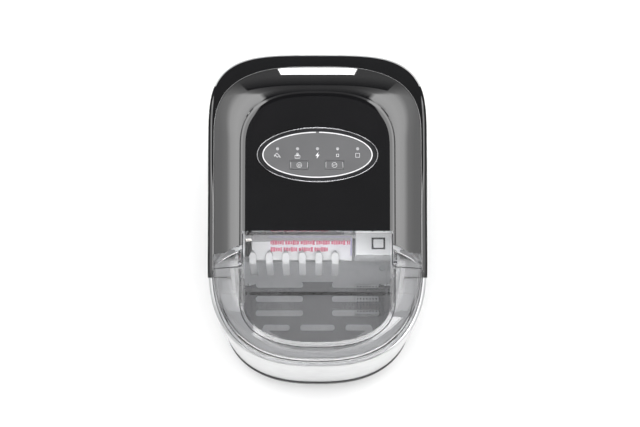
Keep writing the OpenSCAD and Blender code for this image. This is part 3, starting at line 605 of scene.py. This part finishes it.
def top_deck():
    """Deck ring with a step along each side, a rounded outer edge and a skirt."""
    rim = 2.5

    def drop(d, x, y):
        wide = mix(2.2, 6.4, smooth((50 - y) / 40))
        share = max(0.0, min(1.0, (d - rim) / wide))
        return 0.42 * wide * (1 - share) ** 2 * edge_weight(x, y)

    rows = [(0.0, -1.2), (0.2, -0.5), (0.7, 0.0), (1.3, 0.0), (rim - 0.1, 0.0), (rim + 0.1, 0.0)]
    rows += [(rim + 0.1 + 6.4 * (i / 12) ** 1.2, 0.0) for i in range(1, 13)] + [(11.0, 0.0), (17.0, 0.0)]
    loops = [at_deck(cabinet(0), -SKIRT)]
    for d, rise in rows:
        loops.append([(x, y, deck_z(y) + rise - drop(d, x, y)) for x, y in cabinet(d)])
    loops.append(at_deck(cabinet(17.0), -3))
    for d in (4.4, WALL):
        loops.append([(x, y, deck_z(y) - 3 - 2.7 * edge_weight(x, y)) for x, y in cabinet(d)])
    loops.append(at_deck(cabinet(WALL), -SKIRT))
    deck = loft("deck_shell", loops, ring=True)
    keep(deck, WIDE, (SPLIT_Y, 220), UPPER_H)
    # bright silver trim round the back, let into the deck's edge: painted highlight standing in for the light the
    # deck's back fillet reflects
    bead = [(-0.01, -3.4), (-0.01, -1.0), (0.3, -0.35), (0.9, -0.05), (1.4, -0.05), (1.7, -0.4), (1.7, -3.4)]
    groove = [(-1.0, -3.4), (-1.0, 1.0), (1.7, 1.0), (1.7, -3.4)]
    channel = loft("tool", [at_deck(cabinet(d), rise) for d, rise in groove], ring=True)
    keep(channel, WIDE, (142, 220), UPPER_H)
    combine(deck, channel)
    trim = loft("rear_highlight_trim", [at_deck(cabinet(d), rise) for d, rise in bead], ring=True)
    keep(trim, WIDE, (142.2, 220), UPPER_H)
    finish(shade(trim, 40), "cabinet", "silver_front", "highlight_silver")
    shade(deck, 40)
    finish(deck, "cabinet", "black_gloss", replaces=["top_deck"])


def fascia():
    """Silver front: skin that leans outwards to the base, rolled top edge and the ledge under the lid."""
    def skin(u, d, drop=3.0):
        yf = mix(FRONT_Y + 2, FRONT_Y + 12.3, u ** 1.6) + d
        outline = plan(HALF_W - 1 - d, BACK_Y - 1, 99, BACK_BEND, yf, mix(101, 112, u) - d, FRONT_BEND)
        return [(x, y, mix(PAN_TOP, deck_z(y) - drop, u)) for x, y in outline]

    def top(d, rise):
        outline = plan(HALF_W - 1 - d, BACK_Y - 1, 99, BACK_BEND, FRONT_Y + 12.3 + d, 112 - d,
                       FRONT_BEND)
        return at_deck(outline, rise)

    loops = [[(x, y, z + 0.5) for x, y, z in skin(0, 0.35, 4.6)]]      # chamfered lower edge
    loops += [skin(i / 14, 0, 4.6) for i in range(1, 15)]
    for i in range(1, 9):
        a = math.pi / 2 * i / 8
        loops.append(top(4.6 * (1 - math.cos(a)), -4.6 + 4.6 * math.sin(a)))
    loops.append(top(10.0, 0.0))
    loops.append(top(10.0, -WALL))
    loops += [skin(0.985 * (1 - i / 5), WALL) for i in range(6)]
    shell = loft("front_shell", loops, ring=True)
    keep(shell, WIDE, AHEAD, FULL_H)
    shade(shell, 40, 0.25)
    finish(shell, "cabinet", "silver_front", replaces=["front_fascia"])


def base_pan():
    def ring(d):
        return plan(HALF_W - 0.5 - d, BACK_Y - 1 - d, 99 - d, BACK_BEND, FRONT_Y + d, 101 - d, FRONT_BEND)
    top = PAN_TOP - 0.4
    pan = loft("base_shell", [
        flat(ring(3.2), FOOT_H), flat(ring(1.6), FOOT_H + 0.5), flat(ring(0.5), FOOT_H + 1.7),
        flat(ring(0), FOOT_H + 3.6), flat(ring(0), top - 0.7), flat(ring(0.2), top - 0.2), flat(ring(0.7), top),
        flat(ring(WALL), top), flat(ring(WALL), FOOT_H + WALL)])
    for i in range(7):
        vent = rounded_box(-60 + 18 * i, -50 + 18 * i, -60, -20, 3)
        combine(pan, prism("tool", vent, FOOT_H - 3, FOOT_H + WALL + 3))
    shade(pan, 35)
    finish(pan, "cabinet", "black_satin", replaces=["base_pan"])


def wall_ring(name):
    """Upright cabinet wall below the deck's skirt, rounded in plan."""
    def level(d, z=None):
        return [(x, y, deck_z(y) - SKIRT - 0.4 if z is None else z) for x, y in cabinet(d)]
    return loft(name, [level(1, PAN_TOP), level(1), level(1 + WALL), level(1 + WALL, PAN_TOP)], ring=True)


def side_panels():
    for side, name in SIDES:
        panel = wall_ring(f"wall_{name}")
        reach = (0, 200) if side > 0 else (-200, 0)
        keep(panel, reach, (SPLIT_Y, 139.6), FULL_H)
        louvres = [side_prism("slot", [(y, z) for y, z in rounded_box(52, 132, 62 + 11 * i, 67 + 11 * i, 2.4)],
                              side * 100, side * 140) for i in range(11)]
        combine(panel, join("tool", louvres))
        if side > 0:
            combine(panel, rod("tool", "x", (-30, 50), 14, 100, 140))
        shade(panel, 38, 0.5)
        finish(panel, "cabinet", "black_satin", replaces=[f"side_panel_{name}"])


def rear_panel():
    wall = wall_ring("wall_rear")
    keep(wall, WIDE, (140, 220), FULL_H)
    pocket = block("pocket", (48, 76), (164.5, 173.5), (52, 80))
    combine(wall, pocket, "UNION")
    combine(wall, block("tool", (50, 74), (167, 190), (54, 78)))
    vents = []
    for i in range(9):
        outline = rounded_box(-66, 30, 70 + 12 * i, 75 + 12 * i, 2.4)
        vents.append(loft("slot", [[(x, y, z) for x, z in outline] for y in (150, 190)]))
    for x in (-52, 52):
        for z in (90, 230):
            vents.append(rod("hole", "y", (x, z), 2, 150, 190, 24))
    combine(wall, join("tool", vents[:9]))
    combine(wall, join("tool", vents[9:]))
    combine(wall, rod("tool", "y", (62, 66), 7, 150, 190))
    shade(wall, 38, 0.4)
    finish(wall, "cabinet", "black_satin", replaces=["rear_panel"])


# ---- Lid ----

def knuckle_radius(x):
    """Reach of the lid's turning corner from the hinge's axis, at that x."""
    flank = deck_z(HINGE[0]) + flank_rise(flank_share(x))
    return max(0.7, (top_z(HINGE[0]) if x < DOME_TOP[0] else flank) - HINGE[1] - 0.6)


def knuckle(side):
    """Back corner of the lid, turned about the hinge so that it slips past the pod."""
    rows, turns = 28, 26
    start = math.radians(-4)

    def point(x, r, a):
        return (side * x, HINGE[0] + r * math.sin(a), HINGE[1] + r * math.cos(a))

    xs = [mix(81, 108, i / rows) for i in range(rows + 1)]
    outer = [(x, knuckle_radius(x)) for x in xs]
    inner = [(x, max(0.3, knuckle_radius(x) - WALL)) for x in reversed(xs)]
    profile = outer + inner
    loops = [[point(x, r, mix(start, KNUCKLE_END, j / turns)) for x, r in profile] for j in range(turns + 1)]
    return loft("knuckle", loops)


def lid():
    shell = dome_shell("lid_shell", WALL, 0.8, 3.7)
    half = [(130, -200), (130, HINGE[0]), (79, HINGE[0]), (79, -26.6)]
    keep_inside(shell, mirrored(half))
    for side in (-1, 1):
        combine(shell, rod("hub", "x", HINGE, 14.8, side * 81.6, side * 84), "UNION")
        combine(shell, knuckle(side), "UNION")
    for x0, x1 in ((-84.5, -70), (70, 84.5)):
        combine(shell, rod("bore", "x", HINGE, PIN_HOLE_R, x0, x1))
    shade(shell, 38, 0.4)
    finish(shell, "lid", "smoked_lid", replaces=["lid"])
    # dark grey bead along the end of each turning corner: painted shade line over its bright end face
    for side, name in SIDES:
        path = []
        for i in range(17):
            x = mix(81.5, 107, i / 16)
            reach = knuckle_radius(x) - 0.2
            path.append((side * x, HINGE[0] + reach * math.sin(KNUCKLE_END),
                         HINGE[1] + reach * math.cos(KNUCKLE_END)))
        finish(shade(tube(f"knuckle_shade_line_{name}", path, 0.6), 50), "lid", "smoked_lid", "shaded_liner_grey")


def tube(name, path, r, n=10):
    """Round bead along a path of points, in mm."""
    rings = []
    for i, p in enumerate(path):
        a, b = Vector(path[max(i - 1, 0)]), Vector(path[min(i + 1, len(path) - 1)])
        d = (b - a).normalized()
        u = (Vector((0, 0, 1)) - d * d.z).normalized()
        v = d.cross(u)
        turns = [2 * math.pi * k / n for k in range(n)]
        rings.append([tuple(Vector(p) + u * r * math.cos(t) + v * r * math.sin(t)) for t in turns])
    return loft(name, rings)


def lid_edges():
    """Dark lines painted on the lid, as painted shade of its cut edge: across each shoulder, round a corner and up
    beside the pod.
    """
    def height(x):
        return flank_rise(flank_share(x)) if x > DOME_TOP[0] else RISE - 0.25
    for side, name in SIDES:
        across = [(mix(111.6, 84.4, i / 14), -62.3) for i in range(15)]
        corner = arc(84.4, -57.4, 4.9, math.radians(270), math.radians(180), 10)[1:]
        up = [(79.4, mix(-57, -27.5, i / 8)) for i in range(1, 9)]
        path = [(side * x, y, deck_z(y) + height(x) - 0.05) for x, y in across + corner + up]
        finish(shade(tube(f"lid_shade_edge_{name}", path, 0.55), 50), "lid", "smoked_lid", "black_satin")
    # darker lines painted where the smoked wall is seen edge on, as painted shade along the crease, the foot of the
    # wall and the flange
    for name, f, d, rise, r in (("crease", 1, 0.0, RISE - CROWN - 0.5, 0.7), ("foot", 0, 0.4, 3.9, 0.55),
                                ("brim", 0, -3.2, 1.5, 0.35)):
        path = [p for p in at_deck(dome_plan(f, d), rise) if p[1] < HINGE[0] - 1.5]
        finish(shade(tube(f"lid_{name}_line", path, r), 50), "lid", "smoked_lid", "black_satin")


# ---- Control panel ----

def ring_band(name, half, width, profile):
    """Elliptical ring: profile is (inset share, height) pairs across the band, closed underneath."""
    loops = [flat(ellipse((half[0] - width * s, half[1] - width * s)), z) for s, z in profile]
    return loft(name, loops, ring=True)


def control_panel():
    rounded_rim = [(0.5 - 0.5 * math.cos(math.pi * i / 8), 0.1 + 1.5 * math.sin(math.pi * i / 8) ** 0.7)
                   for i in range(9)]
    bezel = on_top(ring_band("panel_rim", BEZEL_HALF, 1.3, rounded_rim))
    finish(shade(bezel, 60), "cabinet", "bezel_chrome", replaces=["control_bezel"])

    face = [(0.0, -3.2), (0.0, 0.25), (0.35, 0.5), (1.2, 0.5)]
    loops = [flat(ellipse((FILM_HALF[0] - d, FILM_HALF[1] - d)), z) for d, z in face]
    film = loft("panel_film", loops)
    for x in KEY_X:
        gap = rounded_box(x - KEY_SIZE[0] / 2 - 0.3, x + KEY_SIZE[0] / 2 + 0.3,
                          KEY_Y - KEY_SIZE[1] / 2 - 0.3, KEY_Y + KEY_SIZE[1] / 2 + 0.3, 1.2)
        combine(film, prism("tool", gap, -5, 5))
    for i in range(-2, 3):
        combine(film, rod("tool", "z", (i * LIGHT_PITCH, LIGHT_Y), 1.75, -5, 5))
    finish(shade(on_top(film), 30), "cabinet", "panel_film", replaces=["control_panel"])

    gutter = [(0.0, -3.0), (0.0, -1.4), (1.0, -1.4), (1.0, -3.0)]
    floor = on_top(ring_band("panel_gutter", (63.5, 28.3), 5.0, gutter))
    finish(shade(floor, 30), "cabinet", "panel_film", "black_satin")

    # thin pale ring printed round the film, broken at the top
    gap = 0.03
    turns = 150
    path = [math.pi / 2 + gap + (2 * math.pi - 2 * gap) * i / turns for i in range(turns + 1)]
    outer, inner = (FILM_HALF[0] - 0.15, FILM_HALF[1] - 0.15), (FILM_HALF[0] - 1.3, FILM_HALF[1] - 1.3)
    line = [(outer, 0.3), (outer, 0.62), (inner, 0.62), (inner, 0.3)]
    loops = [[(h[0] * math.cos(a), h[1] * math.sin(a), z) for h, z in line] for a in path]
    ring = on_top(loft("panel_line", loops))
    finish(shade(ring, 30), "cabinet", "panel_film", "panel_print")


def lamps():
    domes = []
    for i in range(-2, 3):
        x = i * LIGHT_PITCH
        rings = [(1.65, -5.0), (1.65, 0.35), (1.55, 0.5), (1.2, 0.62), (0.6, 0.7)]
        domes.append(loft("lamp", [[(x + p, LIGHT_Y + q, z) for p, q in ellipse((r, r), 24)] for r, z in rings]))
    lens = on_top(join("indicator_lamps", domes))
    finish(shade(lens, 40), "cabinet", "light_lens", replaces=["indicator_lights"])


def stroke(points, width=0.5, closed=False):
    """Flat printed line through the points, as (verts, faces) in the panel's own plane."""
    count = len(points)
    left, right = [], []
    for i, (x, y) in enumerate(points):
        a = points[i - 1] if i or closed else points[0]
        b = points[(i + 1) % count] if i < count - 1 or closed else points[-1]
        dx, dy = b[0] - a[0], b[1] - a[1]
        size = math.hypot(dx, dy) or 1.0
        nx, ny = -dy / size * width / 2, dx / size * width / 2
        left.append((x + nx, y + ny))
        right.append((x - nx, y - ny))
    pairs = range(count if closed else count - 1)
    faces = [(i, (i + 1) % count, count + (i + 1) % count, count + i) for i in pairs]
    return left + right, faces


def filled(points):
    return list(points), [tuple(range(len(points)))]


def print_marks(name, marks, height, centre):
    """Thin raised print made of strokes and filled shapes, at that height over the pod's top."""
    verts, faces = [], []
    for points, polygons in marks:
        base = len(verts)
        verts += [(x + centre[0], y + centre[1], height) for x, y in points]
        faces += [tuple(base + i for i in polygon) for polygon in polygons]
    obj = new_object(name, verts, faces)
    thick = obj.modifiers.new("thick", "SOLIDIFY")
    thick.thickness = PRINT_H * MM
    thick.offset = 1
    return on_top(obj)


def square(half):
    return [(-half, -half), (half, -half), (half, half), (-half, half)]


def panel_icons():
    icon_y = -0.6
    jug = [stroke([(-2.6, 0.6), (-0.6, 2.4), (2.0, -0.4), (0.0, -2.2)], 0.55, True),
           stroke([(-2.6, 0.6), (-3.2, -0.6), (-2.4, -1.2)], 0.5), stroke([(2.2, -0.6), (3.0, -2.6)], 0.6)]
    pile = [stroke([(-3.1, -0.6), (3.1, -0.6), (2.5, -3.0), (-2.5, -3.0)], 0.5, True),
            filled(square(0.75)), stroke([(-1.9, 0.2), (-1.0, 1.4), (1.0, 1.4), (1.9, 0.2)], 0.5, True),
            stroke([(-0.9, 1.6), (0, 2.8), (0.9, 1.6)], 0.5, True)]
    bolt = [filled([(0.9, 3.6), (-2.1, -0.6), (0.1, -0.5)]), filled([(-0.9, -3.7), (2.1, 0.7), (-0.1, 0.6)]),
            stroke([(-0.6, 0.1), (0.6, -0.1)], 1.3)]
    small = [stroke(square(1.25), 0.5, True)]
    large = [stroke(square(2.1), 0.5, True)]
    for i, (name, marks) in enumerate((("jug", jug), ("ice", pile), ("bolt", bolt), ("small", small),
                                       ("large", large))):
        obj = print_marks(f"icon_{name}", marks, 0.5, ((i - 2) * LIGHT_PITCH, icon_y))
        finish(obj, "cabinet", "panel_film", "panel_print")


def keys():
    ring = stroke(ellipse((2.6, 2.6), 40), 0.35, True)
    power = [ring, stroke(arc(0, -0.1, 1.2, math.radians(130), math.radians(410), 20), 0.35),
             stroke([(0, 0.2), (0, 1.5)], 0.4)]
    choose = [ring, stroke([(-1.3, -0.7), (-0.2, -0.7), (-0.2, 0.4), (-1.3, 0.4)], 0.3, True),
              stroke([(0.4, 0.9), (1.4, 0.9), (1.4, -0.2)], 0.3)]
    for name, body, x, marks in (("power_button", "power_key", KEY_X[0], power),
                                 ("select_button", "select_key", KEY_X[1], choose)):
        w, h = KEY_SIZE[0] / 2, KEY_SIZE[1] / 2
        levels = [(0.0, -2.8), (0.0, 0.35), (0.15, 0.55), (0.5, 0.66), (1.2, 0.7)]
        loops = [flat(rounded_box(x - w + d, x + w - d, KEY_Y - h + d, KEY_Y + h - d, 1.3 - d * 0.5), z)
                 for d, z in levels]
        cap = on_top(loft(f"{body}_cap", loops))
        finish(shade(cap, 35), body, "key_grey", replaces=[name])
        for edge in (-1, 1):
            marks = marks + [stroke([(edge * (w - 0.7), -2.6), (edge * (w - 0.7), 3.2)], 0.35)]
        mark = print_marks(f"{body}_mark", marks, 0.7, (x, KEY_Y))
        finish(mark, body, "key_grey", "panel_print")


# ---- Wet compartment ----

def liner():
    """Tub with rounded floor corners, and the ledge that the lid closes on."""
    r = 9.0
    arcs = [math.pi / 2 * i / 6 for i in range(7)]
    outer = [flat(tub(WALL - (r + WALL) * (1 - math.sin(a))), TUB_FLOOR - WALL + (r + WALL) * (1 - math.cos(a)))
             for a in arcs]
    inner = [flat(tub(-r * (1 - math.sin(a))), TUB_FLOOR + r * (1 - math.cos(a))) for a in reversed(arcs)]

    def brim(d):
        return [(x, y, min(deck_z(y) - WALL - 0.2, 261.5)) for x, y in tub(d)]

    tank = loft("tank", outer + [brim(WALL), brim(0.4), brim(0)] + inner)
    combine(tank, rod("tool", "z", (63, -78), 7.2, 90, 110))
    combine(tank, rod("tool", "z", (80, -38), 4.2, 90, 110))
    for x in (-60, -48, -36):
        combine(tank, rod("tool", "y", (x, 241), 3.6, 25, 37, 32))
    combine(tank, rod("tool", "y", (24, 242), 4.2, 25, 37, 32))
    finish(shade(tank, 35), "cabinet", "liner_grey", replaces=["inner_liner"])

    def ledge(d, rise):
        return at_deck(plan(HALF_W - 11.4 - d, 30, 10, 4, FRONT_Y + 22.7 + d, 101.6 - d, 2.5), rise)
    brink = [at_deck(tub(0.6), -0.2), at_deck(tub(0.3), -0.6), at_deck(tub(0.3), -2.6)]
    shelf = loft("tank_ledge", [ledge(0, -2.6), ledge(0, -0.5), ledge(0.4, -0.2)] + brink, ring=True)
    keep(shelf, WIDE, AHEAD, FULL_H)
    # the ledge takes the darker copy of the liner's grey: painted shade
    finish(shade(shelf, 35), "cabinet", "liner_grey", "shaded_liner_grey")
    for side, name in SIDES:
        x = sorted((side * 90.5, side * 113.6))
        # hinge floor plates in the same painted-shade grey
        plate = side_prism(f"hinge_floor_{name}", [(y, deck_z(y) + h) for y, h in (
            (-67.6, 0.1), (-38, 0.1), (-38, 0.6), (-67.6, 0.6))], *x)
        finish(shade(plate, 35), "cabinet", "liner_grey", "shaded_liner_grey")

    # dark sheet under the strainer's holes: painted shade that makes the holes read dark
    screen = block("strainer_hole_shade", (48, 79), (-93.5, -62.5), (117.2, 117.9))
    finish(shade(screen, 30), "cabinet", "liner_grey", "dark_plastic")

    under = (BASKET_FLOOR - 8, BASKET_FLOOR - 0.1)
    stops = join("basket_rests", [block("rest", x, y, under) for x, y in (
        ((-93, -79), (-96, -62)), ((79, 93), (-96, -62)), ((-20, 20), (-149, -134)))])
    finish(shade(stops, 35, 0.6), "cabinet", "liner_grey")


def slot_outline(x0, x1, y, r):
    h = math.pi / 2
    return arc(x1 - r, y, r, -h, h, 10) + arc(x0 + r, y, r, h, 3 * h, 10)


def ice_basket():
    top = BASKET_FLOOR + BASKET_H
    r = 5.0
    arcs = [math.pi / 2 * i / 5 for i in range(6)]
    outer = [flat(basket(-2 - r * (1 - math.sin(a))), BASKET_FLOOR + r * (1 - math.cos(a))) for a in arcs]
    rim = [flat(basket(-2), top - 2.5), flat(basket(0.6), top - 2.5), flat(basket(1), top - 2.1),
           flat(basket(1), top - 0.5), flat(basket(0.5), top), flat(basket(-3.6), top), flat(basket(-4), top - 0.4)]
    q = r - 2
    inner = [flat(basket(-4 - q * (1 - math.sin(a))), BASKET_FLOOR + 2 + q * (1 - math.cos(a)))
             for a in reversed(arcs)]
    shell = loft("basket_shell", outer + rim + inner)
    combine(shell, block("tool", (-84, 84), (-66, -40), (BASKET_FLOOR + 1.7, 300)))
    floor = (BASKET_FLOOR - 5, BASKET_FLOOR + 7)
    slots = []
    for y in (-63.6, -80.6, -97.4):
        slots += [slot_outline(17, 73.5, y, 3.6), slot_outline(-73.5, -17, y, 3.6)]
    slots.append([(-y, x - 84) for x, y in slot_outline(-14.5, 14.5, 0, 7.6)])
    slots += [slot_outline(x0, x1, -114.6, 3.6) for x0, x1 in ((-20.5, 20.5), (33, 64.5), (-64.5, -33))]
    cuts = [prism("cut", slot, *floor) for slot in slots]
    cuts += [rod("cut", "z", (x, -131.5 + 0.0016 * x * x), 3, *floor, 24) for x in (-50, -30, -10, 10, 30, 50)]
    cuts += [rod("cut", "x", (y, BASKET_FLOOR + 20), 4, -100, 100, 24) for y in (-68, -86, -104)]
    combine(shell, join("tool", cuts))
    finish(shade(shell, 38, 0.3), "basket", "smoked_basket", replaces=["ice_basket"])
    # dark dots on the basket floor above the strainer: painted shade of fine perforations that are not cut
    z = BASKET_FLOOR + 1.9
    dots = [rod("dot", "z", (47.6 + 3.63 * i, y), 0.62, z, z + 0.3, 8)
            for y in (-69.5, -72.3, -75.1, -86.8, -89.6, -92.2) for i in range(9)]
    finish(join("basket_hole_shade_dots", dots), "basket", "smoked_basket", "dark_plastic")


def ice_shovel():
    """Sweeping plate with six pointed ribs that run on past its front edge as fingers."""
    plate = side_prism("plate", [(-20, 256.5), (-46.2, 241.5), (-46.9, 238), (-44.6, 238), (-44.3, 239.9),
                                 (-20, 253.8)], -73, 38.7)
    parts = [plate]
    for x in FINGER_X:
        # section across the rib: upright sides and a ridged back
        path = [(-37.4, 246.5, 0.4), (-39.4, 247.4, 2.6), (-41.6, 246.4, 4.0), (-46.9, 243.8, 4.0),
                (-48.3, 242.4, 4.0), (-49.0, 240.8, 4.0), (-52.8, 222.0, 4.0), (-56.6, 203.0, 4.0),
                (-56.3, 200.6, 3.4)]
        loops = []
        for i, (y, z, w) in enumerate(path):
            a, b = path[max(i - 1, 0)], path[min(i + 1, len(path) - 1)]
            dy, dz = b[0] - a[0], b[1] - a[1]
            size = math.hypot(dy, dz)
            ny, nz = dz / size, -dy / size       # into the plate
            deep = 2.6
            loops.append([(x + w * s, y + ny * deep * t, z + nz * deep * t)
                          for s, t in ((-1, 1), (-1, 0.25), (-0.7, 0.0), (0, -0.05), (0.7, 0.0), (1, 0.25), (1, 1))])
        parts.append(loft("rib", loops))
    parts += [block("pin", x, (-24, -20.5), (250.5, 254.5)) for x in ((-83, -72.6), (38.3, 42.5))]
    shovel = join("ice_shovel_plate", parts)
    finish(shade(shovel, 35, 0.35), "shovel", "shovel_grey", replaces=["ice_shovel"])


def cover_frame():
    """Dark floor of the recess round the pad on the drive cover."""
    recess = block("cover_recess", (59.7, 74.8), (-36.3, -23.2), (255.25, 255.6))
    finish(shade(recess, 30), "cabinet", "liner_grey", "dark_plastic")


def shovel_label():
    """Film on the shovel's slope, with a coloured edge and two rows of unreadable dashes, and a darker strip above
    it that is painted shadow of the pod's lip.
    """
    rise = 15 / 26.2

    def sheet(name, x0, x1, y0, y1, lift):
        def z(y, k):
            return 256.5 + (y + 20) * rise + lift * k
        outline = [(y0, z(y0, 0)), (y1, z(y1, 0)), (y1, z(y1, 1)), (y0, z(y0, 1))]
        return side_prism(name, outline, x0, x1)

    film = join("label_sheet", [sheet("a", -56, 38, -37, -27.3, 0.28), sheet("b", 25, 38, -45.4, -36.9, 0.28)])
    finish(shade(film, 30), "shovel", "label_film", replaces=["shovel_label"])
    # darker strip at the top of the slope, under the pod's lip: painted shadow of the lip
    strip = sheet("lip_shadow_strip", -72.6, 38.4, -27.5, -20.3, 0.2)
    finish(shade(strip, 30), "shovel", "label_film", "lip_shadow_grey")
    edge = 1.3
    rows = [sheet("e", -54, 37, -22.9, -22.3, 0.34), sheet("e", 38 - edge, 38, -42, -24, 0.34)]
    finish(shade(join("label_border", rows), 30), "shovel", "label_film", "label_edge")
    dashes = []
    for row, (y, start, stop) in enumerate(((-28.4, -52, 36), (-35.4, -52, 13))):
        x = float(start)
        k = row
        while x < stop:
            long = 1.5 + 1.1 * ((k * 7) % 5) / 4
            tall = 1.7 + 0.7 * ((k * 3) % 4) / 3
            dashes.append(sheet("d", x, min(x + long, stop), y - tall, y + tall, 0.33))
            x += long + 0.55 + (1.3 if k % 6 == 5 else 0)
            k += 1
    finish(join("label_dashes", dashes), "shovel", "label_film", "label_ink")


# ---- Stage: floor, lamps, camera ----

def glow(name, corners, strengths):
    """Soft lamp panel that the camera doesn't see: a grid of points, each with its own strength."""
    rows, columns = corners
    verts = [p for row in rows for p in row]
    faces = [(j * columns + i, j * columns + i + 1, (j + 1) * columns + i + 1, (j + 1) * columns + i)
             for j in range(len(rows) - 1) for i in range(columns - 1)]
    mesh = bpy.data.meshes.new(name)
    mesh.from_pydata(verts, [], faces)
    value = mesh.attributes.new("glow", "FLOAT", "POINT")
    value.data.foreach_set("value", [s for row in strengths for s in row])
    panel = add_object(name, mesh)
    material = bpy.data.materials.new(name)
    material.use_nodes = True
    tree = material.node_tree
    tree.nodes.clear()
    source = add_node(tree, "ShaderNodeAttribute")
    source.attribute_name = "glow"
    emit = add_node(tree, "ShaderNodeEmission")
    out = add_node(tree, "ShaderNodeOutputMaterial")
    tree.links.new(source.outputs["Fac"], emit.inputs["Strength"])
    tree.links.new(emit.outputs[0], out.inputs["Surface"])
    mesh.materials.append(material)
    panel.visible_camera = False
    panel.visible_shadow = False
    return panel


def lamp_wall(name, levels, side=1, tail=0):
    """Part of a sphere round the object: levels are (elevation, azimuth from, to, strength), in degrees.

    tail adds that many fading columns towards the back.
    """
    centre, radius = Vector((0, 0, 0.27)), 1.3
    columns = 25
    rows, strengths = [], []
    for elevation, first, last, strength in levels:
        row, glows = [], []
        for i in range(columns + tail):
            a = mix(first, last, i / (columns - 1)) if i < columns else mix(last, 90, (i - columns + 1) / tail)
            fade = 1.0
            if i >= columns:
                fade = (0.28 + 0.9 * 0.5 ** (i - columns)) / strength * smooth((50 - elevation) / 6)
            a, e = math.radians(a), math.radians(elevation)
            out = Vector((side * math.cos(a) * math.cos(e), math.sin(a) * math.cos(e), math.sin(e)))
            row.append(centre + radius * out)
            glows.append(strength * fade)
        rows.append(row)
        strengths.append(glows)
    return glow(name, (rows, columns + tail), strengths)


def lamp_card(name, x, y, z, strength):
    """Upright bright card facing the object."""
    rows = [[Vector((px, y, pz)) for px in x] for pz in z]
    return glow(name, (rows, 2), [[level] * 2 for level in strength])


def stage():
    mesh = bpy.data.meshes.new("floor")
    mesh.from_pydata([(-9, -9, 0), (9, -9, 0), (9, 9, 0), (-9, 9, 0)], [], [(0, 1, 2, 3)])
    floor = add_object("floor", mesh)
    mesh.materials.append(MATERIALS["floor"])

    side = [(4, -24, 24, 1.2), (22, -24, 36, 1.4), (30, -24, 46, 1.8), (36, -24, 52, 3.6), (44, -24, 62, 4.1),
            (50, -24, 62, 3.9), (54, -24, 52, 2.8), (66, -24, 40, 2.7)]
    lamp_wall("lamp_right", side, 1, 8)
    lamp_wall("lamp_left", side, -1, 8)
    lamp_wall("lamp_front", [(1, -62, -118, 1.6), (30, -62, -118, 1.8)])
    sheen = lamp_wall("lamp_sheen", [(3, -30, -128, 5.4), (30, -30, -128, 7.4), (60, -30, -128, 7.8)])
    sheen.visible_diffuse = False
    lamp_card("lamp_back", (-0.12, 0.12), 0.70, (0.439, 0.574), (18.0, 18.0))
    lamp_card("lamp_haze", (-0.45, 0.45), 0.705, (0.30, 0.60, 0.72, 0.84), (0.3, 0.42, 0.2, 0.0))
    overhead = bpy.data.lights.new("overhead", "AREA")
    overhead.shape = "SQUARE"
    overhead.size = 2.4
    overhead.energy = 42
    lamp = add_object("overhead", overhead)
    lamp.location = (0, 0, 2.6)
    lamp.visible_glossy = False
    lamp.visible_camera = False

    world = bpy.data.worlds.new("world")
    bpy.context.scene.world = world
    world.use_nodes = True
    tree = world.node_tree
    background = tree.nodes["Background"]
    background.inputs["Color"].default_value = (0.97, 0.98, 1.0, 1)
    rays = add_node(tree, "ShaderNodeLightPath")
    level = add_node(tree, "ShaderNodeMapRange", To_Min=0.12, To_Max=0.9)   # light on the object, and backdrop
    tree.links.new(rays.outputs["Is Camera Ray"], level.inputs["Value"])
    tree.links.new(level.outputs["Result"], background.inputs["Strength"])


def camera():
    """Nearly overhead, from the front."""
    data = bpy.data.cameras.new("camera")
    data.lens = 68.23
    data.sensor_width = 36
    data.shift_x = 0.0039
    data.shift_y = 0.0175
    data.clip_end = 30
    view = add_object("camera", data)
    elevation, distance, aim = math.radians(81), 1.4, Vector((0, 0, 0.2))
    away = Vector((0, -math.cos(elevation), math.sin(elevation)))
    view.location = aim + away * distance
    view.rotation_euler = (-away).to_track_quat("-Z", "Y").to_euler()
    bpy.context.scene.camera = view


camera()
dress_cad_nodes()
base_pan()
side_panels()
rear_panel()
fascia()
top_deck()
control_pod()
hinge_covers()
lid()
lid_edges()
control_panel()
lamps()
panel_icons()
keys()
liner()
ice_basket()
ice_shovel()
shovel_label()
cover_frame()
stage()

bpy.context.scene.view_settings.view_transform = "Standard"
